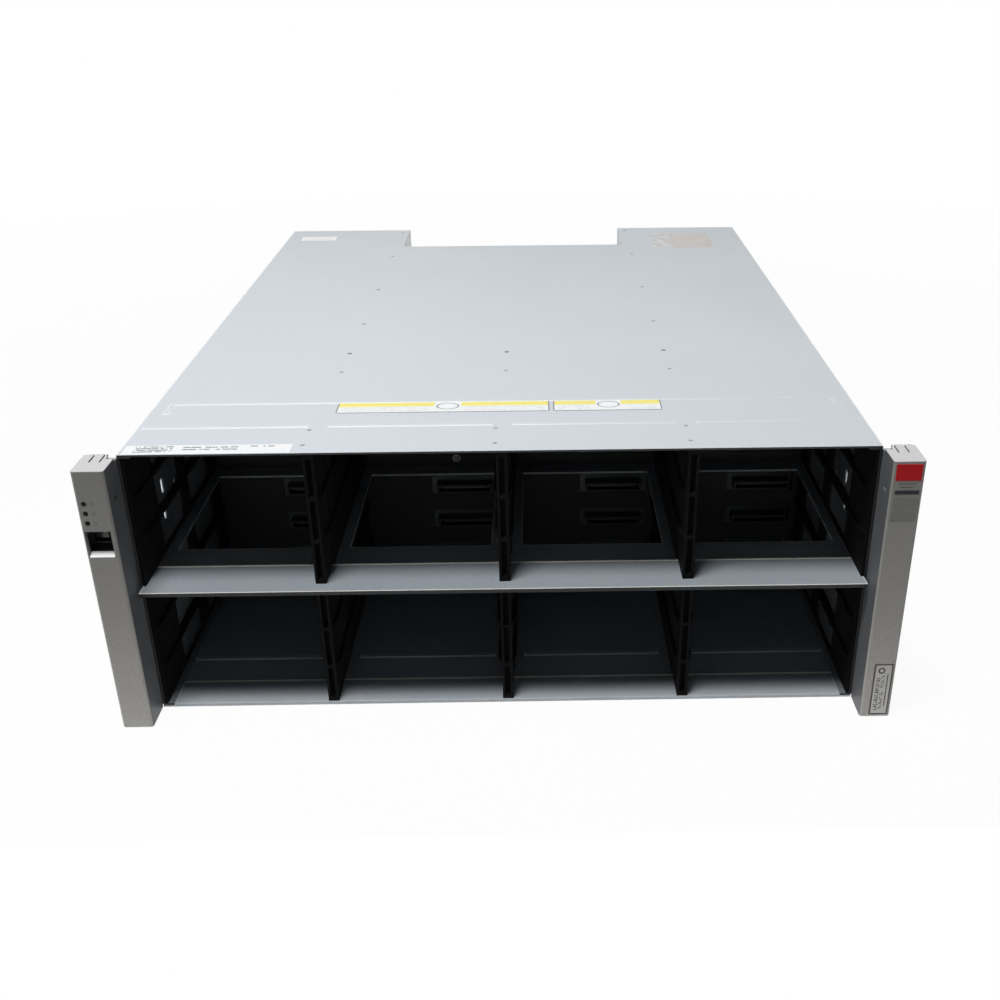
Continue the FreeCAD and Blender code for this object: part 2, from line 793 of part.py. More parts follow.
def make_partition(side, name):
    body = new_body(name + "_body")
    inner, outer = f"{side} * notch_half", f"{side} * (notch_half + sheet)"
    tip = f"{side} * (notch_half + sheet + partition_flange)"
    pad(body, "XZ", ("board_rear", "rear"), outline_of([
        (inner, "sheet"), (tip, "sheet"), (tip, "2 * sheet"), (outer, "2 * sheet"),
        (outer, "ceiling - sheet"), (tip, "ceiling - sheet"), (tip, "ceiling"), (inner, "ceiling")]))
    add_node(name, body)


def make_rear_bays():
    shelves, rails = [], []
    for side in (-1, 1):
        shelves.append(box("bay_shelf", side_span(side, "notch_half + sheet", "inner_half"),
                           ("module_front", "rear"), span("bay_mid", "sheet")))
        for slot in range(1, IO_SLOTS):
            rails.append(box("io_rail", side_span(side, "notch_half - io_rail_ledge", "notch_half"),
                             ("module_front", "notch_front - io_rail_setback"),
                             span(f"sheet + {slot} * io_pitch", "sheet")))
    add_node("power_bay_shelves", group("bay_shelves", shelves))
    add_node("io_bay_rails", group("io_rails", rails))


BLANK_SLOTS = 11


def blank_plate(name, across, deep, high):
    """A blank plate with a row of upright ventilation slots, which stay inside a solid rim."""
    plate = box(name, across, deep, high)
    middle = f"(({across[0]}) + ({across[1]})) / 2"
    through = (f"{deep[0]} - overcut", f"{deep[1]} + overcut")
    tall = (f"{high[0]} + blank_margin", f"{high[1]} - blank_margin")
    places = [f"{middle} + {number - BLANK_SLOTS // 2} * blank_slot_pitch" for number in range(BLANK_SLOTS)]
    slots = [box(name + "_slot", span(place, "blank_slot"), through, tall) for place in places]
    return cut(name + "_slotted", plate, slots)


def make_blanks():
    power_blanks = [
        blank_plate("power_blank", side_span(side, "notch_half + sheet", "inner_half"),
                    ("power_face", "rear"), ("bay_mid + sheet / 2", "ceiling - sheet"))
        for side in (-1, 1)]
    add_node("power_bay_blanks", group("power_blanks", power_blanks))
    io_blanks = [
        blank_plate("io_blank", ("-notch_half", "notch_half"), ("notch_front - face_sheet", "notch_front"),
                    (f"sheet + {slot} * io_pitch + seam_gap", f"sheet + {slot + 1} * io_pitch - seam_gap"))
        for slot in (1, 2)]
    add_node("io_bay_blanks", group("io_blanks", io_blanks))


# ---------------------------------------------------------------- power and cooling modules

def place_at(thing, across, deep, high):
    for letter, text in zip("xyz", (across, deep, high)):
        bind(thing, "Placement.Base." + letter, text)


VENTS_A_SIDE = 3


def make_power_case(edge, name):
    """A sheet metal case, open to the rear, with vents in its front and the tongue that plugs in."""
    across = reach(edge, "power_width")
    shell = box(name + "_shell", across, ("module_front", "power_face"), ("power_low", "power_high"))
    inside = box(name + "_inside", (f"{across[0]} + case_sheet", f"{across[1]} - case_sheet"),
                 ("module_front + case_sheet", "power_face + overcut"),
                 ("power_low + case_sheet", "power_high - case_sheet"))
    middle = f"{edge} + power_width / 2"
    vents = [box(name + "_vent", span(f"{middle} + {side * number} * vent_pitch", "vent_width"),
                 ("module_front - overcut", "module_front + case_sheet + overcut"),
                 span("power_middle", "vent_height"))
             for side in (-1, 1) for number in range(1, VENTS_A_SIDE + 1)]
    tongue = box(name + "_tongue", span(middle, "socket_width - 2 * tongue_margin"),
                 ("board_rear + tongue_gap", "module_front + case_sheet"),
                 span("power_middle", "tongue_thick"))
    add_node(name, fuse(name + "_whole", [cut(name + "_open", shell, [inside] + vents), tongue]))


def make_lug(name, pivot, face, deep, lever_low, hub):
    """A tab from a rear plate under a lever, pierced for the lever's pin."""
    limits = reach(f"{lever_low} - lug_sheet - move_gap", "lug_sheet")
    lug = new_body(name + "_lug")
    pad(lug, "XY", limits, outline_of([
        (f"{pivot} - {hub}", face), (f"{pivot} + {hub}", face), (f"{pivot} + {hub}", deep),
        (f"{pivot} + {hub} / 2", f"{deep} + {hub}"), (f"{pivot} - {hub} / 2", f"{deep} + {hub}"),
        (f"{pivot} - {hub}", deep)]))
    pocket(lug, "XY", limits, lambda sketch: draw_circle(sketch, (pivot, deep), "pivot_radius + pivot_clear"))
    return lug


GRILLE_SLOTS_A_SIDE = 4


def make_power_face(edge, name):
    """The rear plate: fan grille, cut-outs for inlet and switch, and the lug that carries the lever."""
    plate = box(name + "_plate", reach(edge, "power_width"), ("power_face", "rear"),
                ("power_low", "power_high"))
    through = ("power_face - overcut", "rear + overcut")
    fan, plug = f"{edge} + fan_place", f"{edge} + inlet_place"
    tools = []
    for number in range(-GRILLE_SLOTS_A_SIDE, GRILLE_SLOTS_A_SIDE + 1):
        offset = f"{number} * grille_pitch"
        chord = f"sqrt(pow(fan_bore; 2) - pow({offset}; 2)) - grille_rim"
        for high in ((f"fan_height - ({chord})", "fan_height - grille_bar / 2"),
                     ("fan_height + grille_bar / 2", f"fan_height + {chord}")):
            tools.append(box(name + "_grille", span(f"{fan} + {offset}", "grille_slot"), through, high))
    tools.append(box(name + "_inlet_hole", span(plug, "inlet_width"), through,
                     span("power_high - inlet_from_top", "inlet_height")))
    tools.append(box(name + "_switch_hole", span(plug, "switch_width"), through,
                     span("power_high - switch_from_top", "switch_height")))
    lug = make_lug(name, f"{edge} + lever_pivot", "power_face", "rear + lever_standoff", "lever_low",
                   "lever_hub")
    add_node(name, fuse(name + "_whole", [cut(name + "_open", plate, tools), lug]))


BORE_SIDES = 32
MOTOR_SIDES = 16


def make_fan_frame(edge, name):
    """A square frame with cut corners round the bore, and a four-armed carrier for the motor."""
    middle = f"{edge} + fan_place"
    front = "power_face - fan_depth"
    across, high = span(middle, "fan_size"), span("fan_height", "fan_size")
    shell = new_body(name + "_shell")
    pad(shell, "XZ", (front, "power_face"), lambda sketch: draw_octagon(
        sketch, (middle, "fan_height"), "fan_size / 2", "fan_size / 2", "fan_bevel"))
    bore = rod(name + "_bore", "y", "fan_bore", "fan_depth + 2 * overcut",
               (middle, f"{front} - overcut", "fan_height"), BORE_SIDES)
    carrier = reach(front, "strut_depth")
    arms = [box(name + "_arm", across, carrier, span("fan_height", "strut_width")),
            box(name + "_arm", span(middle, "strut_width"), carrier, high)]
    motor = rod(name + "_motor", "y", "fan_hub", "strut_depth", (middle, front, "fan_height"), MOTOR_SIDES)
    add_node(name, fuse(name + "_whole", [cut(name + "_open", shell, [bore]), motor] + arms))


BLADES = 7
BLADE_STATIONS = 3
HUB_SIDES = 3 * BLADES


def facet(*corners):
    return Part.Face(Part.makePolygon(list(corners) + [corners[0]]))


def make_blade(stations):
    """A solid of flat facets between four-cornered sections."""
    faces = [facet(*reversed(stations[0])), facet(*stations[-1])]
    for near, far in zip(stations, stations[1:]):
        for first in range(len(near)):
            second = (first + 1) % len(near)
            faces.append(facet(near[first], near[second], far[second]))
            faces.append(facet(near[first], far[second], far[first]))
    return Part.makeSolid(Part.makeShell(faces))


def make_fan_rotor(edge, name):
    """Hub and twisted blades, built about the fan's own axis and then set in place."""
    hub_radius, tip_radius, depth = value("fan_hub"), value("fan_tip"), value("fan_hub_depth")
    half_thick, root = value("blade_thick") / 2, hub_radius - value("blade_thick")
    axis = FreeCAD.Vector(0, 1, 0)
    rim = [FreeCAD.Vector(hub_radius * math.cos(2 * math.pi * number / HUB_SIDES), 0,
                          hub_radius * math.sin(2 * math.pi * number / HUB_SIDES))
           for number in range(HUB_SIDES)]
    hub = facet(*rim).extrude(axis * depth)
    stations = []
    for number in range(BLADE_STATIONS):
        share = number / (BLADE_STATIONS - 1)
        radius = root + (tip_radius - root) * share
        half_chord = value(f"blade_root_chord + (blade_tip_chord - blade_root_chord) * {share}") / 2
        pitch = value(f"blade_root_pitch + (blade_tip_pitch - blade_root_pitch) * {share}")
        turn = FreeCAD.Rotation(FreeCAD.Vector(1, 0, 0), pitch)
        stations.append([turn.multVec(FreeCAD.Vector(0, along * half_chord, across * half_thick))
                         + FreeCAD.Vector(radius, depth / 2, 0)
                         for along, across in ((-1, -1), (1, -1), (1, 1), (-1, 1))])
    blades = []
    for number in range(BLADES):
        blade = make_blade(stations)
        blade.rotate(FreeCAD.Vector(), axis, 360 * number / BLADES)
        blades.append(blade)
    thing = doc.addObject("Part::Feature", name)
    thing.Shape = hub.fuse(blades).removeSplitter()
    place_at(thing, f"{edge} + fan_place", "power_face - fan_depth + strut_depth + move_gap", "fan_height")
    add_node(name, thing)


def make_power_inlet(edge, name):
    """The mains inlet: a rimmed well with three flat pins."""
    middle, height = f"{edge} + inlet_place", "power_high - inlet_from_top"
    shell = box(name + "_shell", span(middle, "inlet_width"), ("rear - inlet_depth", "rear + rim_thick"),
                span(height, "inlet_height"))
    rim = box(name + "_rim", span(middle, "inlet_width + 2 * rim_width"), ("rear", "rear + rim_thick"),
              span(height, "inlet_height + 2 * rim_width"))
    floor = "rear - inlet_depth + inlet_floor"
    inside = box(name + "_inside", span(middle, "inlet_width - 2 * inlet_wall"),
                 (floor, "rear + rim_thick + overcut"), span(height, "inlet_height - 2 * inlet_wall"))
    pieces = [cut(name + "_open", fuse(name + "_outer", [shell, rim]), [inside])]
    for side in (-1, 0, 1):
        lift = f"{1 - 2 * abs(side)} * pin_rise"
        pieces.append(box(name + "_pin", span(f"{middle} + {side} * pin_spread", "pin_thick"),
                          (f"{floor} - overcut", "rear - pin_setback"),
                          span(f"{height} + {lift}", "pin_width")))
    return fuse(name + "_whole", pieces)


def make_rocker(edge, name):
    """The rocker tips about a pin along X, held by a frame that clips into the rear plate."""
    middle, height = f"{edge} + inlet_place", "power_high - switch_from_top"
    frame = box(name + "_frame", span(middle, "switch_width"), ("rear - switch_depth", "rear + rim_thick"),
                span(height, "switch_height"))
    rim = box(name + "_rim", span(middle, "switch_width + 2 * switch_wall"), ("rear", "rear + rim_thick"),
              span(height, "switch_height + 2 * switch_wall"))
    well = box(name + "_well", span(middle, "switch_width - 2 * switch_wall"),
               ("rear - switch_depth + switch_wall", "rear + rim_thick + overcut"),
               span(height, "switch_height - 2 * switch_wall"))
    pivot_deep = "rear - rocker_pivot_depth"
    bore = rod(name + "_bore", "x", "pivot_radius + pivot_clear", "switch_width - switch_wall",
               (f"{middle} - switch_width / 2 + switch_wall / 2", pivot_deep, height))
    holder = cut(name + "_holder", fuse(name + "_outer", [frame, rim]), [well, bore])
    body = new_body(name + "_body")
    half = "(switch_height / 2 - switch_wall - move_gap - rocker_margin)"
    wide = span("0", "switch_width - 2 * switch_wall - 2 * move_gap")
    pad(body, "YZ", wide, outline_of([
        ("-rocker_back", f"-{half} / 2"), ("rocker_edge", f"-{half}"), ("rocker_horn", f"-{half}"),
        ("rocker_dip", "0"), ("rocker_horn", half), ("rocker_edge", half), ("-rocker_back", f"{half} / 2")]))
    pad(body, "YZ", span("0", "switch_width - switch_wall - 2 * move_gap"),
        lambda sketch: draw_circle(sketch, ("0", "0"), "pivot_radius"))
    body.Placement = FreeCAD.Placement(FreeCAD.Vector(), FreeCAD.Rotation(FreeCAD.Vector(1, 0, 0), 1))
    bind(body, "Placement.Rotation.Angle", "rocker_tilt")
    place_at(body, middle, pivot_deep, height)
    add_node(name, body)
    return holder


def make_lever(name, place, way, length, thick, tall, hub):
    """A cam lever in its closed place: a hub with its pin below, an arm along the plate and a bent grip."""
    body = new_body(name + "_body")
    side, knee = f"({thick}) / 2", f"({length} - grip_length)"
    pad(body, "XY", ("0", tall), outline_of([
        (f"{-way} * {hub}", f"-{hub} / 2"), (f"{-way} * {hub} / 2", f"-{hub}"),
        (f"{way} * {hub} / 2", f"-{hub}"), (f"{way} * 2 * {hub}", f"-{side}"),
        (f"{way} * {knee}", f"-{side}"),
        (f"{way} * {length}", f"grip_bend - {side}"), (f"{way} * {length}", f"grip_bend + {side}"),
        (f"{way} * {knee}", side), (f"{way} * 2 * {hub}", side), (f"{way} * {hub} / 2", hub),
        (f"{-way} * {hub} / 2", hub), (f"{-way} * {hub}", f"{hub} / 2")]))
    pad(body, "XY", ("-lug_sheet - move_gap", f"{tall} / 2"),
        lambda sketch: draw_circle(sketch, ("0", "0"), "pivot_radius"))
    place_at(body, *place)
    add_node(name, body)


def make_power_module(edge, prefix):
    make_power_case(edge, prefix + "_case")
    make_power_face(edge, prefix + "_faceplate")
    make_fan_frame(edge, prefix + "_fan_frame")
    make_fan_rotor(edge, prefix + "_fan_rotor")
    inlet = make_power_inlet(edge, prefix + "_mains")
    switch_frame = make_rocker(edge, prefix + "_rocker")
    add_node(prefix + "_inlet", group(prefix + "_sockets", [inlet, switch_frame]))
    make_lever(prefix + "_lever", (f"{edge} + lever_pivot", "rear + lever_standoff", "lever_low"), -1,
               "lever_length", "lever_thick", "lever_height", "lever_hub")


# ---------------------------------------------------------------- input and output modules

PORTS = 4


def port_places(base):
    """Centres of the port cages of a module."""
    return [(f"{number - (PORTS - 1) / 2} * port_pitch", f"{base} + port_lift") for number in range(PORTS)]


def make_io_case(name, slot, deep, high):
    low, top = high
    shell = box(name + "_shell", ("-io_half", "io_half"), deep, high)
    inside = box(name + "_inside", ("-io_half + case_sheet", "io_half - case_sheet"),
                 (f"{deep[0]} + case_sheet", f"{deep[1]} + overcut"),
                 (f"{low} + case_sheet", f"{top} - case_sheet"))
    tongue = box(name + "_tongue", span("0", "socket_width - 2 * tongue_margin"),
                 ("board_rear + tongue_gap", f"{deep[0]} + case_sheet"),
                 span(f"sheet + {slot + 0.5} * io_pitch", "tongue_thick"))
    add_node(name, fuse(name + "_box", [cut(name + "_open", shell, [inside]), tongue]))


def make_io_ports(name, places, rear_face):
    cages = []
    for across, height in places:
        shell = box(name + "_cage", span(across, "port_width"),
                    (f"{rear_face} - port_depth", f"{rear_face} + port_proud"), span(height, "port_height"))
        mouth = box(name + "_mouth", span(across, "port_width - 2 * port_wall"),
                    (f"{rear_face} - port_depth + port_floor", f"{rear_face} + port_proud + overcut"),
                    span(height, "port_height - 2 * port_wall"))
        cages.append(cut(name + "_port", shell, [mouth]))
    add_node(name, group(name + "_cages", cages))


def make_io_module(slot, prefix):
    """A flat module with four ports, and an ejector lever at each end of its rear plate."""
    base = f"sheet + {slot} * io_pitch"
    low, high = f"{base} + sheet / 2 + seam_gap", f"{base} + io_pitch - sheet / 2 - seam_gap"
    inner_face, outer_face = "notch_front - face_sheet", "notch_front"
    make_io_case(prefix + "_case", slot, ("module_front", inner_face), (low, high))
    places = port_places(base)
    plate = box(prefix + "_plate", ("-io_half", "io_half"), (inner_face, outer_face), (low, high))
    through = (f"{inner_face} - overcut", f"{outer_face} + overcut")
    holes = [box(prefix + "_hole", span(across, "port_width"), through, span(height, "port_height"))
             for across, height in places]
    pieces = [cut(prefix + "_pierced", plate, holes)]
    lever_low, deep = f"{low} + ejector_lift", "notch_front + ejector_standoff"
    for side, word in ((-1, "left"), (1, "right")):
        pivot = f"{side} * (io_half - ejector_from_edge)"
        pieces.append(make_lug(prefix, pivot, inner_face, deep, lever_low, "ejector_hub"))
        make_lever(f"{prefix}_{word}_lever", (pivot, deep, lever_low), -side, "ejector_length",
                   "ejector_thick", "ejector_height", "ejector_hub")
    add_node(prefix + "_faceplate", fuse(prefix + "_face", pieces))
    make_io_ports(prefix + "_ports", places, outer_face)


# ---------------------------------------------------------------- end caps

def make_end_cap(side, name):
    """A moulded cover over a rack ear, open to the rear, with a latch tongue in its top."""
    body = new_body(name + "_body")
    inner, outer = f"{side} * cap_inner", f"{side} * cap_half"
    wall_in, wall_out = f"{side} * (cap_inner + cap_wall)", f"{side} * (cap_half - cap_wall)"
    corner = f"{side} * cap_round"
    pad(body, "XY", ("cap_lift", "cap_top"), outline_of([
        (inner, "cap_back"), (inner, "cap_front + cap_round"), (f"{inner} + {corner}", "cap_front"),
        (f"{outer} - {corner}", "cap_front"), (outer, "cap_front + cap_round"), (outer, "0"),
        (wall_out, "0"), (wall_out, "cap_back")]))
    pocket(body, "XY", ("cap_lift + cap_wall", "cap_top - cap_wall"), rectangle_of(
        (wall_in, wall_out), ("cap_front + cap_wall", "front")))
    lid = ("cap_top - cap_wall", "cap_top")
    tongue = side_span(side, "cap_half - cap_wall - latch_tongue", "cap_half - cap_wall")
    pad(body, "XY", lid, rectangle_of(tongue, ("cap_back", "latch_reach")))
    middle = f"{side} * (half_width + cap_reach / 2 + cap_side_gap)"

    def slits(sketch):
        for way in (-1, 1):
            draw_rectangle(sketch, span(f"{middle} + {way} * latch_width / 2", "latch_slit"),
                           ("front - latch_length", "latch_reach"))
        draw_rectangle(sketch, side_span(side, "half_width", "cap_inner + shoulder_width"),
                       ("cap_back - shoulder_depth", "front"))
    pocket(body, "XY", lid, slits)
    pocket(body, "YZ", side_span(side, "cap_inner", "cap_inner + cap_wall"), rectangle_of(
        span("cap_front + clip_from_front", "clip_length"),
        span("body_height - clip_from_top", "clip_height")))
    return body


LAMPS = 3
LAMP_SIDES = 8


def lamp_height(number):
    return f"lamp_top - {number} * lamp_pitch"


def make_left_cap():
    """The left cap, with lamp holes and a pocket that opens on the display."""
    shell = make_end_cap(-1, "left_end_cap")
    liner = box("pocket_liner", side_span(-1, "cap_inner + cap_wall / 2", "cap_half - cap_wall / 2"),
                ("cap_front + cap_wall / 2", "pocket_back + cap_wall"),
                ("pocket_low - cap_wall", "pocket_high + cap_wall"))
    hollow = new_body("pocket_hollow")
    pad(hollow, "YZ", span("pocket_middle", "pocket_width"), outline_of([
        ("cap_front - overcut", "pocket_low"), ("cap_front", "pocket_low"), ("pocket_back", "pocket_ledge"),
        ("pocket_back", "pocket_high"), ("cap_front - overcut", "pocket_high")]))
    back = box("pocket_back_opening", span("pocket_middle", "pocket_width - 2 * pocket_back_rim"),
               ("pocket_back - overcut", "pocket_back + cap_wall + overcut"),
               ("pocket_ledge + pocket_back_rim", "pocket_high - pocket_back_rim"))
    lamps = [rod("lamp_hole", "y", "lamp_radius + pivot_clear", "cap_wall + 2 * overcut",
                 ("lamp_place", "cap_front - overcut", lamp_height(number)), LAMP_SIDES)
             for number in range(LAMPS)]
    solid = fuse("left_cap_solid", [shell, liner])
    add_node("left_end_cap", cut("left_cap_open", solid, [hollow, back] + lamps))


def make_light_pipes():
    """Three light pipes on a common plate, from the cap's front to the lamps on the card."""
    start = "cap_front + lamp_setback"
    pipes = [rod("light_pipe", "y", "lamp_radius", f"card_face - chip_height - move_gap - ({start})",
                 ("lamp_place", start, lamp_height(number)), LAMP_SIDES) for number in range(LAMPS)]
    plate = box("pipe_plate", span("lamp_place", "pipe_plate_width"),
                reach("cap_front + cap_wall", "pipe_plate_thick"),
                (f"{lamp_height(LAMPS - 1)} - pipe_plate_width / 2", "lamp_top + pipe_plate_width / 2"))
    add_node("light_pipes", fuse("pipes", pipes + [plate]))


def make_indicators():
    """The card behind the left end cap, with its lamps, the display and the guided button."""
    card = box("card_plate", span("pocket_middle", "pocket_width - 2 * pocket_back_rim"),
               reach("card_face", "indicator_sheet"), ("pocket_low", "lamp_top + indicator_rise"))
    posts = [box("card_post", span("pocket_middle", "post_width"),
                 reach("front - indicator_standoff", "indicator_standoff"), span(height, "post_width"))
             for height in ("pocket_low + post_inset", "lamp_top + indicator_rise - post_inset")]
    chips = [box("lamp_chip", span("lamp_place", "chip_size"), ("card_face - chip_height", "card_face"),
                 span(lamp_height(number), "chip_size")) for number in range(LAMPS)]
    across, height = "pocket_middle + pocket_width / 2 - button_from_side", "pocket_ledge + button_lift"
    nose, mouth = "card_face - display_depth", "card_face - display_depth + 2 * button_travel"
    sleeve = box("button_sleeve", span(across, "2 * button_radius + 2 * sleeve_wall"), (mouth, "card_face"),
                 span(height, "2 * button_radius + 2 * sleeve_wall"))
    bore = rod("button_bore", "y", "button_radius + pivot_clear", "display_depth - 2 * button_travel",
               (across, mouth, height))
    guide = cut("button_guide", sleeve, [bore])
    add_node("indicator_board", fuse("indicators", [card, guide] + posts + chips))
    digits = box("digits", reach("pocket_middle - pocket_width / 2 + display_from_side", "display_width"),
                 (nose, "card_face"), reach("pocket_ledge + display_lift", "display_height"))
    add_node("id_display", digits)
    add_node("id_button", rod("button_cap", "y", "button_radius", "display_depth - button_travel - move_gap",
                              (across, nose, height)))


def make_right_cap():
    """The right cap, with a shallow recess at its foot for a pull-out tag's plate."""
    body = make_end_cap(1, "right_end_cap")
    floor = "cap_front + tag_recess"
    high = reach("cap_lift + tag_lift", "tag_height")
    pocket(body, "XZ", ("cap_front", floor), rectangle_of(span("tag_middle", "tag_width"), high))
    add_node("right_end_cap", body)
    tag = box("tag_plate", span("tag_middle", "tag_width - 2 * seam_gap"), (f"{floor} - tag_thick", floor),
              (f"{high[0]} + seam_gap", f"{high[1]} - seam_gap"))
    add_node("tag_frame", tag)


# ---------------------------------------------------------------- the whole

make_bottom_pan()
make_side_wall(-1, "left_side_wall")
make_side_wall(1, "right_side_wall")
make_top_cover()
make_mid_shelf()
make_rack_ear(-1, "left_rack_ear")
make_rack_ear(1, "right_rack_ear")
for half in ("upper", "lower"):
    for column, word in zip((-1, 0, 1), ("left", "middle", "right")):
        make_divider(column, half == "upper", f"{half}_{word}_divider")
    for side, word in ((-1, "left"), (1, "right")):
        make_side_guide(side, half == "upper", f"{half}_{word}_guide")
make_midplane_frame()
make_drive_connectors()
make_midplane_board()
make_partition(-1, "left_partition")
make_partition(1, "right_partition")
make_rear_bays()
make_blanks()
make_power_module("-inner_half + seam_gap", "left_power")
make_power_module("power_inner", "right_power")
make_io_module(0, "lower_io")
make_io_module(3, "upper_io")
make_left_cap()
make_light_pipes()
make_indicators()
make_right_cap()

doc.recompute()
for thing in doc.Objects:
    if "Invalid" in thing.State or "Error" in thing.State:
        raise RuntimeError(f"{thing.Name} ({thing.Label}) failed: {thing.State}")
for name, thing in nodes.items():
    if thing.Shape.isNull() or not thing.Shape.isValid():
        raise RuntimeError(f"{name} has no valid shape")

os.makedirs("parts", exist_ok=True)
for name, thing in nodes.items():
    thing.Shape.exportStep(os.path.join("parts", name + ".step"))
    print(f"{name}: {len(thing.Shape.Solids)} solids, {thing.Shape.Volume:.0f} mm3")
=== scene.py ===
"""Looks of the disk shelf enclosure: finishes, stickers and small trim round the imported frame."""
import json
import math
import bmesh
import bpy
from mathutils import Euler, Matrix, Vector


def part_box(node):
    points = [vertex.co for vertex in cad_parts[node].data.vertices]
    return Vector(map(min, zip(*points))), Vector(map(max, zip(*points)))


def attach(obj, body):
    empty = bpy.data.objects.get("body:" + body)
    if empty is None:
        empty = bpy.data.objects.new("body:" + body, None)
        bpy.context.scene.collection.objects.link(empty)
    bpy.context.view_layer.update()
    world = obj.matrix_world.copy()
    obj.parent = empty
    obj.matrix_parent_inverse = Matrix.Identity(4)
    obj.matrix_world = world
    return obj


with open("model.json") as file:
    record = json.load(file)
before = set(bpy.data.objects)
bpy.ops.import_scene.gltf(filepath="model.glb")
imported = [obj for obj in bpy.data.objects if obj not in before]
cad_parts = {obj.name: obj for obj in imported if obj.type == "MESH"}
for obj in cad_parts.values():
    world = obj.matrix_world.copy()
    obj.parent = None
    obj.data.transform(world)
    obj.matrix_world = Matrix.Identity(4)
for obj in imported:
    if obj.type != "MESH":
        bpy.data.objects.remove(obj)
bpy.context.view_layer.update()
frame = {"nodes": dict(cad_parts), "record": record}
nodes = frame["nodes"]

# Lengths are in metres, apart from those that a comment or docstring gives in mm.
MM = 0.001


# ---------------------------------------------------------------- measures from the frame

def middle_of(node, axis):
    low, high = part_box(node)
    return (low[axis] + high[axis]) / 2


BEAD_HEIGHT = 0.5 * MM
cover_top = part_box("top_cover")[1].z - BEAD_HEIGHT
cover_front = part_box("top_cover")[0].y
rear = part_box("bottom_pan")[1].y
bay_pitch = middle_of("upper_right_divider", 0)
flange_middle = middle_of("right_partition", 0)
midplane_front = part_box("midplane_frame")[0].y
shelf_low, shelf_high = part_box("mid_shelf")
cap_low, cap_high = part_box("left_end_cap")

# The decks' flat strip ends this far behind the cover's front edge.
strip_end = cover_front + 26 * MM

# The pocket in the left end cap: its left side and its foot, its width and its height.
pocket_left = cap_low.x + 1.2 * MM
pocket_foot = cap_high.z - 54.4 * MM
POCKET_WIDTH, POCKET_HEIGHT = 15.0 * MM, 16.8 * MM


# ---------------------------------------------------------------- shader helpers

